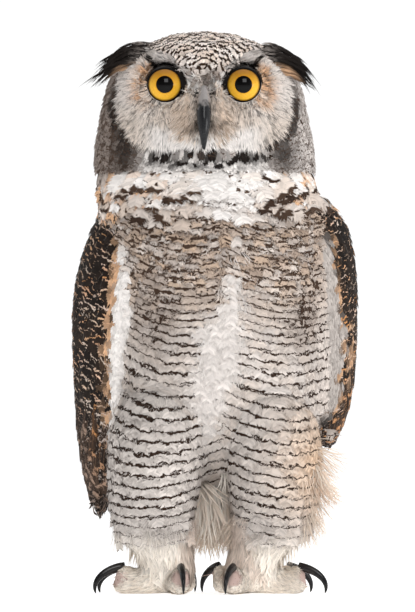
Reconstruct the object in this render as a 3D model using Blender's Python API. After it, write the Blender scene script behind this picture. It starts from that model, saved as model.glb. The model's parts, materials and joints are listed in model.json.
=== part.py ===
"""Great horned owl, life size, standing upright: the solids of a still display model.

The bird faces -Y, +Z is up and +X is its own left side. Each solid reaches out to the tips of
the plumage. Sizes in the tables are millimetres, measured from the floor, from the middle of the two
wings and, to front and back, from just behind the shanks. ORIGIN_Y then brings the origin under
the middle of the whole bird, and MM turns all to metres.
"""

import math

import bmesh
import bpy
import numpy as np
from mathutils import Vector

MM = 0.001
ORIGIN_Y = 18  # the tables' Y at the origin
GAP = 0.4  # clearance between neighbouring solids
RIGHT, LEFT = -1, 1  # the bird's own sides, as signs of X
SIDE_NAMES = {RIGHT: "right", LEFT: "left"}

HEAD_X = -8.7  # the head is held a little to the bird's right of its trunk
NECK_TOP, NECK_BASE = 352, 326  # heights of the two cuts round the neck
CROWN, VENT = 460, 72

# Head, neck and trunk: height, middle X, half width, Y of the widest line, reach to the front
# and to the back of that line, and squareness of the outline (2 is an ellipse).
TORSO = [
    (458, -8.7, 24, 3, 22, 24, 2.0),
    (452, -8.7, 43, 3, 38, 40, 2.1),
    (440, -8.7, 63, 4, 50, 53, 2.3),
    (425, -8.7, 76, 6, 60, 60, 2.5),
    (405, -8.7, 83, 8, 66, 62, 2.6),
    (385, -8.7, 87, 9, 68, 63, 2.5),
    (362, -8.5, 91, 9, 70, 63, 2.3),
    (345, -8, 92, 8, 73, 64, 2.2),
    (330, -6, 92, 6, 77, 67, 2.1),
    (310, -2, 95, 3, 83, 73, 2.1),
    (285, 3, 97, 0, 87, 80, 2.1),
    (255, 6, 95, 0, 89, 84, 2.1),
    (220, 7, 93, 2, 89, 84, 2.1),
    (180, 7, 90, 6, 86, 80, 2.1),
    (150, 6, 84, 12, 76, 72, 2.1),
    (120, 5, 72, 22, 62, 57, 2.1),
    (95, 4, 52, 34, 44, 38, 2.1),
    (80, 3, 28, 42, 24, 20, 2.0),
]
TORSO_POINTS = 34  # points round each ring
FRONT_CROWDING = 0.42  # how much closer together they stand on the face and breast
HEAD_ROW = 9.6  # height of one row of faces on the head, and on the rest
TRUNK_ROW = 19

EYE_SPREAD, EYE_Y, EYE_Z = 32, -41.5, 415
EYE_RADIUS, CORNEA_RADIUS, CORNEA_FORWARD = 17.0, 15.0, 3.2

# Upper bill: Y and Z of its middle line, half width and half depth, from the cere to the hook.
UPPER_BILL = [
    (-50, 412, 7.0, 7.5),
    (-63, 408, 7.4, 8.5),
    (-74, 400, 6.9, 8.4),
    (-80, 389, 6.0, 7.0),
    (-82, 378, 4.5, 5.2),
    (-80.5, 369, 2.5, 2.9),
    (-78.5, 363, 0.7, 0.7),
]
LOWER_BILL = [
    (-48, 393, 5.6, 3.6),
    (-58, 388, 5.2, 3.6),
    (-67, 381, 3.8, 2.8),
    (-71.5, 376, 1.6, 1.2),
]

# Ear tuft of the bird's left side, from the head's own middle: X, Y, Z, half height, half depth.
EAR_TUFT = [
    (36, -36, 438, 12, 8),
    (52, -34, 441, 13, 8),
    (66, -29, 437, 13, 6.5),
    (78, -23, 429, 11, 4.5),
    (89, -16, 418.5, 7, 2.8),
    (97, -12, 410, 1.2, 0.8),
]

# Folded wings: height, outermost X, Y of the outer curve's middle, its radii across and along,
# the angles of its front and back edge from straight out, and the wing's thickness.
WINGS = {
    RIGHT: [
        (321, 90, 9, 34, 44, -50, 62, 9),
        (307, 97.5, 8, 52, 60, -58, 80, 17),
        (280, 109, 10, 66, 72, -62, 92, 21),
        (228, 118, 15, 78, 79, -61, 102, 27),
        (165, 116, 24, 74, 74, -59, 100, 31),
        (116, 111, 34, 62, 63, -54, 82, 26),
        (86, 105, 43, 46, 48, -42, 62, 16),
        (65, 98.5, 50, 30, 30, -30, 45, 8),
    ],
    LEFT: [
        (322, 94, 9, 38, 48, -52, 66, 10),
        (309, 105, 8, 56, 62, -58, 80, 17),
        (291, 113.5, 9, 66, 70, -61, 92, 21),
        (240, 118.3, 14, 77, 79, -60, 102, 22),
        (190, 117, 22, 72, 76, -58, 100, 27),
        (150, 110.5, 32, 60, 66, -53, 84, 22),
        (127, 101, 43, 48, 50, -42, 62, 12),
    ],
}
WING_TIPS = {RIGHT: (94, 54, 55), LEFT: (93, 58, 111)}  # |X|, Y and Z of each wing's tip
WING_POINTS = 11  # points along the wing's outer curve, and again along its inner one
WING_ROW = 24

# Tail from the rump to its tip: Y, Z, half width, half thickness.
TAIL = [
    (40, 190, 24, 12),
    (62, 160, 32, 13),
    (82, 126, 38, 10),
    (103, 82, 42, 6.5),
    (120, 47, 44, 4),
    (125, 36, 40, 1.5),
]

# Leg of either side: height, |X| of its middle, half width, Y of the widest line, reach to the
# front and to the back. The thigh ends and the shank starts at SHANK_TOP.
LEG = [
    (176, 42, 22, -10, 44, 18),
    (166, 43, 31, -12, 57, 24),
    (148, 45.5, 39, -14, 62, 32),
    (125, 47, 43, -14, 60, 38),
    (100, 48, 42, -14, 55, 40),
    (78, 51, 39, -13, 49, 36),
    (60, 53.5, 35.5, -12, 43, 32),
    (46, 52, 31, -11, 38, 28),
    (34, 48, 26.5, -10, 32, 24),
    (24, 42, 21, -9, 27, 20),
]
LEG_TOP, LEG_BOTTOM, SHANK_TOP = 180, 16, 56
LEG_POINTS, LEG_ROW = 18, 16

PALM_X = {RIGHT: -35, LEFT: 27}
PALM_Y, PALM_RADII, PALM_Z = -8, (18, 22, 15), 12
# Toes, two leading and two trailing: the heading in degrees from straight ahead, away from the
# bird's middle, on its right foot and on its left, the length from the palm's middle to the
# pad's end, and the claw's chord.
TOES = {
    "inner": ((-8, -15), 56, 27),
    "middle": ((72, 76), 49, 28),
    "outer": ((100, 120), 44, 27),
    "hind": ((-158, -133), 35, 26),
}
TOE_RADII = [(0, 12.5), (0.3, 12.0), (0.62, 10.6), (0.85, 10.2), (0.96, 8.0), (1, 4.0)]
PAD_Z = 7.8  # height of the pad's middle, less than its radius, so that the pad is flat below
TOE_SLOPE = 5  # how far a toe's middle line comes down from the palm to the pad
# Claws leave the pad this share of its radius above its middle, and each is part of an arc: the
# angle its line has come down from level at its root, and the angle it turns through.
CLAW_RISE, CLAW_RADIUS, CLAW_TIP_Z = 0.86, 4.4, 0.9
CLAW_START, CLAW_TURN = math.radians(12), math.radians(92)

MATERIALS = {
    "plumage_head": ((0.46, 0.41, 0.36), 0.85),
    "plumage_neck": ((0.55, 0.52, 0.49), 0.85),
    "plumage_trunk": ((0.62, 0.57, 0.52), 0.85),
    "plumage_wing": ((0.16, 0.12, 0.09), 0.8),
    "plumage_tail": ((0.34, 0.27, 0.2), 0.8),
    "plumage_leg": ((0.68, 0.62, 0.55), 0.85),
    "plumage_foot": ((0.8, 0.7, 0.58), 0.85),
    "plumage_tuft": ((0.07, 0.055, 0.045), 0.8),
    "iris": ((0.85, 0.52, 0.05), 0.1),
    "horn": ((0.03, 0.03, 0.035), 0.25),
}


def clear_scene():
    for thing in list(bpy.data.objects):
        bpy.data.objects.remove(thing)


def make_materials():
    made = {}
    for name, (colour, roughness) in MATERIALS.items():
        material = bpy.data.materials.new(name)
        material.use_nodes = True
        shader = material.node_tree.nodes["Principled BSDF"]
        shader.inputs["Base Color"].default_value = (*colour, 1)
        shader.inputs["Roughness"].default_value = roughness
        shader.inputs["Metallic"].default_value = 0
        material.diffuse_color = (*colour, 1)
        made[name] = material
    return made


def read_rows(rows, places):
    """Every column of rows at these places along the first one, on smooth curves that never
    overshoot a row. Past either end a column keeps its end value."""
    table = np.array(sorted(rows), float)
    at, values = table[:, 0], table[:, 1:]
    step = np.diff(at)[:, None]
    slope = np.diff(values, axis=0) / step
    same_way = slope[1:] * slope[:-1] > 0
    total = np.where(same_way, slope[1:] + slope[:-1], 1)
    inner = np.where(same_way, 2 * slope[1:] * slope[:-1] / total, 0)
    tangent = np.vstack([slope[:1], inner, slope[-1:]])
    places = np.clip(np.asarray(places, float), at[0], at[-1])
    k = np.clip(np.searchsorted(at, places, side="right") - 1, 0, len(at) - 2)
    h = step[k]
    t = ((places - at[k]) / step[k, 0])[:, None]
    return (
        (1 + 2 * t) * (1 - t) ** 2 * values[k]
        + t * (1 - t) ** 2 * h * tangent[k]
        + t**2 * (3 - 2 * t) * values[k + 1]
        + t**2 * (t - 1) * h * tangent[k + 1]
    )


def evenly(start, stop, step):
    """Places from start to stop, no further than step apart."""
    return np.linspace(start, stop, max(2, math.ceil(abs(stop - start) / step) + 1))


def solid(name, rings, poles, material, cutter=False):
    """A closed object from rings of points in millimetres, with a point at each end, or where the
    pole is None a flat ladder of faces across a thin ring. It is all triangles, so that a cutter
    grown from the same rings has the same facets and holds the solid at every point."""
    origin = Vector((0, ORIGIN_Y, 0))
    mesh = bmesh.new()
    rows = [[mesh.verts.new((Vector(p) - origin) * MM) for p in ring] for ring in rings]
    count = len(rows[0])
    for near, far in zip(rows, rows[1:]):
        for i in range(count):
            j = (i + 1) % count
            mesh.faces.new((near[i], near[j], far[j]))
            mesh.faces.new((near[i], far[j], far[i]))
    for pole, row in zip(poles, (rows[0], rows[-1])):
        if pole is None:
            for i in range(count // 2):
                rung = [row[i], row[i + 1], row[-i - 1], row[-i % count]]
                mesh.faces.new(list(dict.fromkeys(rung)))
            continue
        end = mesh.verts.new((Vector(pole) - origin) * MM)
        for i in range(count):
            mesh.faces.new((end, row[i], row[(i + 1) % count]))
    bmesh.ops.recalc_face_normals(mesh, faces=mesh.faces)
    data = bpy.data.meshes.new(name)
    mesh.to_mesh(data)
    mesh.free()
    data.shade_smooth()
    made = bpy.data.objects.new(name, data)
    bpy.context.scene.collection.objects.link(made)
    if cutter:
        made.hide_render = True
        made.display_type = "WIRE"
    else:
        data.materials.append(material)
    return made


def cut(piece, cutter):
    """Takes the cutter's space out of the piece."""
    modifier = piece.modifiers.new("cut_" + cutter.name, "BOOLEAN")
    modifier.operation = "DIFFERENCE"
    modifier.solver = "EXACT"
    modifier.object = cutter


def squared(value, exponent):
    """A sine or cosine bent so that an ellipse turns into a squarer outline."""
    return np.sign(value) * np.abs(value) ** (2 / exponent)


# ---------------------------------------------------------------- head, neck and trunk


def bump(distance, width):
    return np.exp(-0.5 * (distance / width) ** 2)


def face_relief(x, z):
    """How far the face stands forward of the plain head, by X from the head's middle and Z."""
    side = np.abs(x)
    hollow = -6.0 * bump(np.hypot(side - EYE_SPREAD, (z - EYE_Z)), 14)
    brow = 4.5 * bump((z - 423) - 0.42 * (side - 12), 5.5) * bump(side - 30, 22)
    bridge = 6.0 * bump(side, 8.5) * bump(z - 402, 16)
    whiskers = 5.0 * bump(side - 13, 11) * bump(z - 384, 13)
    disc_edge = 2.5 * bump(np.hypot(side - 26, (z - 400) * 1.1) - 50, 6)
    under_chin = -3.5 * bump(z - 354, 5) * bump(side, 45)
    return hollow + brow + bridge + whiskers + disc_edge + under_chin


def torso_rings(heights, grow=0.0):
    p = np.linspace(0, 2 * math.pi, TORSO_POINTS, endpoint=False)
    turn = p - FRONT_CROWDING * np.sin(p)  # measured from straight ahead
    rings = []
    for z, row in zip(heights, read_rows(TORSO, heights)):
        middle_x, half_width, middle_y, front, back, exponent = row
        across = squared(np.sin(turn), exponent)
        ahead = squared(np.cos(turn), exponent)
        x = middle_x + (half_width + grow) * across
        y = middle_y - np.where(ahead > 0, front + grow, back + grow) * ahead
        facing = np.clip(np.cos(turn) * 1.6, 0, 1)
        y -= facing * face_relief(x - HEAD_X, z)
        rings.append(np.column_stack([x, y, np.full_like(x, z)]))
    return rings


def torso_piece(name, bottom, top, step, material, bottom_pole=None, top_pole=None, grow=0.0):
    """One length of the body between two heights, with flat ends unless a pole is given."""
    rings = torso_rings(evenly(bottom, top, step), grow)
    poles = [bottom_pole, top_pole]
    for i, ring in ((0, rings[0]), (1, rings[-1])):
        if poles[i] is None:
            poles[i] = ring.mean(axis=0)
    return solid(name, rings, poles, material, cutter=bool(grow))


def make_torso(materials):
    head = torso_piece(
        "head", NECK_TOP + GAP / 2, 457.5, HEAD_ROW, materials["plumage_head"],
        top_pole=(HEAD_X, 4, CROWN),
    )
    neck = torso_piece(
        "neck", NECK_BASE + GAP / 2, NECK_TOP - GAP / 2, TRUNK_ROW, materials["plumage_neck"]
    )
    trunk = torso_piece(
        "trunk", VENT + 8, NECK_BASE - GAP / 2, TRUNK_ROW, materials["plumage_trunk"],
        bottom_pole=(3, 44, VENT),
    )
    return head, neck, trunk


# ---------------------------------------------------------------- eyes and bill


def eye_ball(name, side, material, grow=0.0):
    """A ball with the cornea's steeper dome in front, turned about the Y axis."""
    centre = Vector((HEAD_X + side * EYE_SPREAD, EYE_Y, EYE_Z))
    around = np.linspace(0, 2 * math.pi, 15, endpoint=False)
    rings = []
    for turn in np.radians(np.linspace(15, 160, 8)):
        ahead, out = math.cos(turn), math.sin(turn)
        dome = max(0.0, ahead) ** 2
        radius = EYE_RADIUS + dome * (CORNEA_RADIUS + CORNEA_FORWARD - EYE_RADIUS) + grow
        ring = [
            centre + Vector((radius * out * math.cos(a), -radius * ahead, radius * out * math.sin(a)))
            for a in around
        ]
        rings.append(ring)
    front = centre - Vector((0, CORNEA_RADIUS + CORNEA_FORWARD + grow, 0))
    back = centre + Vector((0, EYE_RADIUS + grow, 0))
    return solid(name, rings, (front, back), material, cutter=bool(grow))


def sweep(name, path, sizes, material, points=10, side=None, floor=None, cutter=False):
    """A solid round a path of points, with a half width and half height at each of them.
    side is the direction of the width, and otherwise level. Nothing goes below floor."""
    path = [Vector(p) for p in path]
    rings = []
    for i, (centre, (half_width, half_height)) in enumerate(zip(path, sizes)):
        along = (path[min(i + 1, len(path) - 1)] - path[max(i - 1, 0)]).normalized()
        across = side or along.cross(Vector((0, 0, 1))).normalized()
        across = (across - along * across.dot(along)).normalized()
        up = across.cross(along).normalized()
        ring = []
        for k in range(points):
            turn = 2 * math.pi * k / points
            place = centre + across * half_width * math.cos(turn) + up * half_height * math.sin(turn)
            ring.append(place)
        rings.append(ring)
    poles = [path[0], path[-1]]
    for i, end, last in ((0, path[0] - path[1], rings[0]), (1, path[-1] - path[-2], rings[-1])):
        thick = min((p - path[-i]).length for p in last)
        poles[i] = path[-i] + end.normalized() * thick * 0.5
    if floor is not None:
        rings = [[Vector((p.x, p.y, max(p.z, floor))) for p in ring] for ring in rings]
        poles = [Vector((p.x, p.y, max(p.z, floor))) for p in poles]
    return solid(name, rings, poles, material, cutter=cutter)


def bill(name, rows, material, grow=0.0):
    fine = read_rows([(i, *row) for i, row in enumerate(rows)], np.linspace(0, len(rows) - 1, 10))
    path = [(HEAD_X, y, z) for y, z, _, _ in fine]
    sizes = [(w + grow, h + grow) for _, _, w, h in fine]
    return sweep(name, path, sizes, material, side=Vector((1, 0, 0)), cutter=bool(grow))


def make_face(head, materials):
    eyes = {}
    for side, word in SIDE_NAMES.items():
        eyes[side] = eye_ball("eye_" + word, side, materials["iris"])
        cut(head, eye_ball("socket_" + word, side, None, grow=GAP))
    upper = bill("bill_upper", UPPER_BILL, materials["horn"])
    lower = bill("bill_lower", LOWER_BILL, materials["horn"])
    room_for_upper = bill("room_for_bill_upper", UPPER_BILL, None, grow=GAP)
    cut(head, room_for_upper)
    cut(head, bill("room_for_bill_lower", LOWER_BILL, None, grow=GAP))
    cut(lower, room_for_upper)
    return eyes, upper, lower


def make_ear_tufts(materials):
    """Flattened brushes of long feathers, laid back and out along the brow."""
    room_for_head = torso_piece(
        "room_for_head", NECK_TOP, 457.5, HEAD_ROW, None, top_pole=(HEAD_X, 4, CROWN + GAP),
        grow=2 * GAP,
    )
    fine = read_rows(
        [(i, *row) for i, row in enumerate(EAR_TUFT)], np.linspace(0, len(EAR_TUFT) - 1, 9)
    )
    for side, word in SIDE_NAMES.items():
        path = [(HEAD_X + side * x, y, z) for x, y, z, _, _ in fine]
        sizes = [(depth, height) for _, _, _, height, depth in fine]
        tuft = sweep("ear_tuft_" + word, path, sizes, materials["plumage_tuft"])
        cut(tuft, room_for_head)


# ---------------------------------------------------------------- wings and tail


def wing(name, side, material, grow=0.0):
    """A folded wing: at each height a crescent between an outer curve and an inner one."""
    rows = WINGS[side]
    tip_x, tip_y, tip_z = WING_TIPS[side]
    top = rows[0][0]
    heights = evenly(top, rows[-1][0], WING_ROW)
    rings = []
    for z, row in zip(heights, read_rows(rows, heights)):
        outer_x, middle_y, across, along, front, back, thick = row
        share = np.linspace(0, 1, WING_POINTS)
        turn = np.radians(front + (back - front) * share)
        depth = thick * (0.22 + 0.78 * np.sin(math.pi * share) ** 0.6)
        middle_x = outer_x - across
        outer = np.column_stack(
            [middle_x + (across + grow) * np.cos(turn), middle_y + (along + grow) * np.sin(turn)]
        )
        inner = np.column_stack(
            [
                middle_x + (across - depth - grow) * np.cos(turn),
                middle_y + (along - depth - grow) * np.sin(turn),
            ]
        )
        middle = 0.5 * (outer + inner)
        round_front = middle[:1] + (middle[0] - middle[1]) * 0.25 * (1 + grow)
        round_back = middle[-1:] + (middle[-1] - middle[-2]) * 0.25 * (1 + grow)
        outline = np.vstack([round_front, outer, round_back, inner[::-1]])
        ring = np.column_stack([side * outline[:, 0], outline[:, 1], np.full(len(outline), z)])
        rings.append(ring)
    crest = rings[0] * 0.75 + np.roll(rings[0][::-1], 1, axis=0) * 0.25
    crest[:, 2] = top + 3 + grow
    tip = (side * tip_x, tip_y, tip_z - grow)
    return solid(name, [crest, *rings], (None, tip), material, cutter=bool(grow))


def tail(name, material, grow=0.0):
    fine = read_rows([(i, *row) for i, row in enumerate(TAIL)], np.linspace(0, len(TAIL) - 1, 8))
    path = [(2, y, z) for y, z, _, _ in fine]
    sizes = [(w + grow, h + grow) for _, _, w, h in fine]
    return sweep(
        name, path, sizes, material, points=14, side=Vector((1, 0, 0)), cutter=bool(grow)
    )


# ---------------------------------------------------------------- legs and feet


def leg_rings(side, heights, grow=0.0):
    turn = np.linspace(0, 2 * math.pi, LEG_POINTS, endpoint=False)
    rings = []
    for z, row in zip(heights, read_rows(LEG, heights)):
        middle_x, half_width, middle_y, front, back = row
        lean = np.interp(z, [LEG_BOTTOM, 90], [PALM_X[side] - side * LEG[-1][1], 0])
        x = side * middle_x + lean + (half_width + grow) * np.sin(turn)
        ahead = np.cos(turn)
        y = middle_y - np.where(ahead > 0, front + grow, back + grow) * ahead
        rings.append(np.column_stack([x, y, np.full_like(x, z)]))
    return rings


def leg_piece(name, side, bottom, top, material, grow=0.0, domed=False):
    rings = leg_rings(side, evenly(bottom, top, LEG_ROW), grow)
    poles = [rings[0].mean(axis=0), rings[-1].mean(axis=0)]
    if domed:
        poles[1] = poles[1] + (0, 0, LEG_TOP - top + grow)
    return solid(name, rings, poles, material, cutter=bool(grow))


def palm(name, side, material, grow=0.0):
    centre = np.array([PALM_X[side], PALM_Y, PALM_Z])
    radii = np.array(PALM_RADII) + grow
    turn = np.linspace(0, 2 * math.pi, 14, endpoint=False)
    floor = 0.3 - grow
    rings = []
    for tilt in np.radians(np.linspace(-72, 72, 6)):
        ring = centre + radii * np.column_stack(
            [
                math.cos(tilt) * np.cos(turn),
                math.cos(tilt) * np.sin(turn),
                np.full_like(turn, math.sin(tilt)),
            ]
        )
        ring[:, 2] = np.maximum(ring[:, 2], floor - tilt * 0.1)
        rings.append(ring)
    poles = (centre * (1, 1, 0) + (0, 0, floor), centre + (0, 0, radii[2]))
    return solid(name, rings, poles, material, cutter=bool(grow))


def toe_path(side, heading, length):
    turn = math.radians(heading)
    ahead = Vector((side * math.sin(turn), -math.cos(turn), 0))
    start = Vector((PALM_X[side], PALM_Y, 0))
    shares = np.array([0.12, 0.45, 0.7, 0.86, 0.95, 1])
    radii = read_rows(TOE_RADII, shares)[:, 0]
    path = [
        start + ahead * (length * share) + Vector((0, 0, PAD_Z + TOE_SLOPE * (1 - share)))
        for share in shares
    ]
    return ahead, path, radii


def toe(name, side, heading, length, material, grow=0.0):
    _, path, radii = toe_path(side, heading, length)
    sizes = [(r + grow, r + grow) for r in radii]
    return sweep(name, path, sizes, material, points=10, floor=0.0, cutter=bool(grow))


def claw(name, side, heading, length, chord, material, grow=0.0):
    """A horn-shaped claw: an arc that leaves the top of the pad and comes down to the floor."""
    ahead, path, radii = toe_path(side, heading, length)
    root = path[-3] + Vector((0, 0, radii[-3] * CLAW_RISE))
    shares = np.linspace(0, 1, 6)
    turns = CLAW_START + CLAW_TURN * shares
    out = np.sin(turns) - math.sin(CLAW_START)
    down = math.cos(CLAW_START) - np.cos(turns)
    fall = root.z - CLAW_TIP_Z
    reach = math.sqrt(chord**2 - fall**2)
    line = [
        root + ahead * (reach * across / out[-1]) - Vector((0, 0, fall * drop / down[-1]))
        for across, drop in zip(out, down)
    ]
    thick = CLAW_RADIUS * (1 - shares) ** 0.6 + 0.35
    sizes = [(radius * 0.8 + grow, radius + grow) for radius in thick]
    wide = ahead.cross(Vector((0, 0, 1)))
    return sweep(name, line, sizes, material, 7, wide, floor=0.2 - grow, cutter=bool(grow))


def make_leg(side, wing_room, materials):
    word = SIDE_NAMES[side]
    feathers = materials["plumage_leg"]
    thigh = leg_piece("thigh_" + word, side, SHANK_TOP + GAP / 2, 176, feathers, domed=True)
    cut(thigh, wing_room)
    room_for_thigh = leg_piece(
        "room_for_thigh_" + word, side, SHANK_TOP - 2, 176, None, grow=GAP, domed=True
    )
    shank = leg_piece("shank_" + word, side, LEG_BOTTOM, SHANK_TOP - GAP / 2, feathers)
    down = materials["plumage_foot"]
    palm("foot_" + word, side, down)
    room_for_palm = palm("room_for_foot_" + word, side, None, grow=GAP)
    cut(shank, room_for_palm)
    room_for_shank = leg_piece(
        "room_for_shank_" + word, side, LEG_BOTTOM - 1, SHANK_TOP, None, grow=GAP
    )
    earlier = []
    for toe_name, (headings, length, chord) in TOES.items():
        heading = headings[side == LEFT]
        digit = toe(f"toe_{toe_name}_{word}", side, heading, length, down)
        cut(digit, room_for_palm)
        cut(digit, room_for_shank)
        for other in earlier:
            cut(digit, other)
        room = toe(f"room_for_toe_{toe_name}_{word}", side, heading, length, None, grow=GAP)
        earlier.append(room)
        nail = (side, heading, length, chord)
        claw(f"claw_{toe_name}_{word}", *nail, materials["horn"])
        cut(digit, claw(f"room_for_claw_{toe_name}_{word}", *nail, None, grow=GAP))
    return room_for_thigh


def main():
    clear_scene()
    materials = make_materials()
    head, neck, trunk = make_torso(materials)
    make_face(head, materials)
    make_ear_tufts(materials)
    room_for_tail = tail("room_for_tail", None, grow=GAP)
    tail("tail", materials["plumage_tail"])
    cut(trunk, room_for_tail)
    for side, word in SIDE_NAMES.items():
        wing("wing_" + word, side, materials["plumage_wing"])
        wing_room = wing("room_for_wing_" + word, side, None, grow=GAP)
        cut(trunk, wing_room)
        cut(trunk, make_leg(side, wing_room, materials))


main()
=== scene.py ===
"""Great horned owl, life size, standing upright: the looks of a still display model.

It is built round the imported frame, in metres: the bird faces -Y, +Z is up and +X is its own left
side. One skin replaces the solids of flesh and lies inside them by the depth of the plumage. The
feathers are solid mesh. One Geometry Nodes tree scatters their roots over the skin, tract by
tract, and another sets a feather on each root and bends it over the body.
"""

import json
import math

import bmesh
import bpy
import numpy as np
from mathutils import Matrix, Vector
from mathutils.bvhtree import BVHTree

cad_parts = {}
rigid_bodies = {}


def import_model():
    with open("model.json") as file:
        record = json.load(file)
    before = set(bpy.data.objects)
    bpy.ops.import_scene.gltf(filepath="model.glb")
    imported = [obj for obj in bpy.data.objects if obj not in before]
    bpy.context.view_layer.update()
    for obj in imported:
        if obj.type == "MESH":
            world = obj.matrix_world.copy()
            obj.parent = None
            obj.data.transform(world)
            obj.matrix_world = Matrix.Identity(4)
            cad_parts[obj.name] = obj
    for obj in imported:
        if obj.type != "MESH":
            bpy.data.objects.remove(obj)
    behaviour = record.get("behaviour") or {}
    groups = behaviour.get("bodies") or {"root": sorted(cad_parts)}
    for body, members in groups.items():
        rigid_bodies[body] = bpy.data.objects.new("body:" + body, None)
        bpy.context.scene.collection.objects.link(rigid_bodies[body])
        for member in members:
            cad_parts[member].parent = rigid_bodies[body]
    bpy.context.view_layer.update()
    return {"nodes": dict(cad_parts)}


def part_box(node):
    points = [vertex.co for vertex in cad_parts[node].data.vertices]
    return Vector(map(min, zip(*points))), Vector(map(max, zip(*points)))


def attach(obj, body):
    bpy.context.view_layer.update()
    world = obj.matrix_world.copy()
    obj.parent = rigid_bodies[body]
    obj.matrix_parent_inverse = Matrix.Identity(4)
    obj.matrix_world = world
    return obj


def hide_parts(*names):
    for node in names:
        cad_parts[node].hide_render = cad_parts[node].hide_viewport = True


MM = 0.001
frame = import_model()
rng = np.random.default_rng(20)

# ---------------------------------------------------------------- places, from the frame

EYES = {side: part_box("eye_" + side) for side in ("right", "left")}
EYE_RADIUS = (EYES["left"][1].x - EYES["left"][0].x) / 2
EYE_AT = {
    side: Vector(((low.x + high.x) / 2, high.y - EYE_RADIUS, (low.z + high.z) / 2))
    for side, (low, high) in EYES.items()
}
IRIS, PUPIL = 0.79 * EYE_RADIUS, 0.425 * EYE_RADIUS
HEAD_X = (EYE_AT["left"].x + EYE_AT["right"].x) / 2
HEAD_Y = sum(c.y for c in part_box("head")) / 2
EYE_Z = EYE_AT["left"].z
HAND = {"left": 1, "right": -1}  # which way each side lies along X
EYE_OUT = 32  # millimetres from the middle of the head to the middle of an eye
BODY_X = 5 * MM  # the breast stands a little to the bird's left of the head
PATCH = 0.003  # side of each feather's patch on the bake map
PALMS = {
    side: (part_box("foot_" + side)[0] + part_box("foot_" + side)[1]) / 2 for side in ("right", "left")
}
TOES = [(toe, side) for side in ("right", "left") for toe in ("inner", "middle", "outer", "hind")]

# ---------------------------------------------------------------- small tools


def srgb(code):
    """A hex colour as linear red, green and blue."""
    parts = [int(code[i : i + 2], 16) / 255 for i in (1, 3, 5)]
    return [p / 12.92 if p <= 0.04045 else ((p + 0.055) / 1.055) ** 2.4 for p in parts]


# Kinds of node that are used again and again, and two settings that go with them.
MATH, VECTOR = "ShaderNodeMath", "ShaderNodeVectorMath"
RANGE, NOISE, MIX = "ShaderNodeMapRange", "ShaderNodeTexNoise", "ShaderNodeMix"
PARTS, ATTRIBUTE = "ShaderNodeSeparateXYZ", "ShaderNodeAttribute"
SMOOTH = {"interpolation_type": "SMOOTHSTEP"}
RGBA = {"data_type": "RGBA"}


def main_output(node):
    """The first of a node's outputs that it uses."""
    return next(output for output in node.outputs if output.enabled)


def add(tree, kind, *inputs, by_name=None, **settings):
    """Adds a node with its settings, and fills the inputs that it then uses: in order, and after
    them those given by name. A node given as an input is linked from its first output in use."""
    node = tree.nodes.new(kind)
    for name, value in settings.items():
        setattr(node, name, value)
    used = [socket for socket in node.inputs if socket.enabled]
    named = {socket.name: socket for socket in used}
    filled = [*zip(used, inputs)]
    filled += [(named[name], value) for name, value in (by_name or {}).items()]
    for socket, value in filled:
        if isinstance(value, bpy.types.Node):
            value = main_output(value)
        if isinstance(value, bpy.types.NodeSocket):
            tree.links.new(value, socket)
        else:
            socket.default_value = value
    return node


def ramp(values, low, high):
    """0 at low and 1 at high, with a smooth turn between them."""
    share = np.clip((np.asarray(values, float) - low) / (high - low), 0, 1)
    return share * share * (3 - 2 * share)


def bump(distance, width):
    return np.exp(-0.5 * (np.asarray(distance, float) / width) ** 2)


def unit(vectors):
    length = np.linalg.norm(vectors, axis=-1, keepdims=True)
    return vectors / np.maximum(length, 1e-9)


def link(name, mesh):
    made = bpy.data.objects.new(name, mesh)
    bpy.context.scene.collection.objects.link(made)
    return made


def mesh_of(name, points, faces, smooth=True):
    mesh = bpy.data.meshes.new(name)
    mesh.from_pydata([tuple(p) for p in points], [], [tuple(f) for f in faces])
    mesh.shade_smooth() if smooth else mesh.shade_flat()
    return mesh


def tidy_solid(mesh, merge=None, triangles=False):
    """Turns a closed mesh's faces outwards, after its doubles are merged."""
    bm = bmesh.new()
    bm.from_mesh(mesh)
    if merge:
        bmesh.ops.remove_doubles(bm, verts=bm.verts, dist=merge)
        bmesh.ops.dissolve_degenerate(bm, edges=bm.edges, dist=merge / 10)
    bmesh.ops.recalc_face_normals(bm, faces=bm.faces)
    if triangles:
        bmesh.ops.triangulate(bm, faces=bm.faces)
    bm.to_mesh(mesh)
    bm.free()


def ring_faces(rings, steps):
    """Faces between rings of points that follow each other, steps points on each."""
    faces = []
    for i in range(rings):
        for k in range(steps):
            a, b = i * steps + k, i * steps + (k + 1) % steps
            faces.append((a, b, b + steps, a + steps))
    return faces


def points_of(mesh):
    flat = np.empty(len(mesh.vertices) * 3, np.float32)
    mesh.vertices.foreach_get("co", flat)
    return flat.reshape(-1, 3).astype(float)


def read(mesh, name, width=1):
    attribute = mesh.attributes[name]
    flat = np.empty(len(attribute.data) * width, np.float32)
    attribute.data.foreach_get("vector" if width in (2, 3) else "value", flat)
    return flat.reshape(-1, width).astype(float) if width > 1 else flat.astype(float)


def write(mesh, name, kind, values, domain="POINT"):
    attribute = mesh.attributes.get(name) or mesh.attributes.new(name, kind, domain)
    field = {"FLOAT_VECTOR": "vector", "FLOAT2": "vector", "FLOAT_COLOR": "color"}.get(kind, "value")
    values = np.asarray(values, np.int32 if kind == "INT" else np.float32)
    attribute.data.foreach_set(field, values.ravel())


def new_tree(name, inputs):
    """An empty Geometry Nodes tree with a Geometry input and output, and these other inputs."""
    tree = bpy.data.node_groups.new(name, "GeometryNodeTree")
    tree.interface.new_socket("Geometry", in_out="INPUT", socket_type="NodeSocketGeometry")
    for label, kind in inputs.items():
        tree.interface.new_socket(label, in_out="INPUT", socket_type="NodeSocket" + kind)
    tree.interface.new_socket("Geometry", in_out="OUTPUT", socket_type="NodeSocketGeometry")
    return tree, add(tree, "NodeGroupInput").outputs


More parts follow.
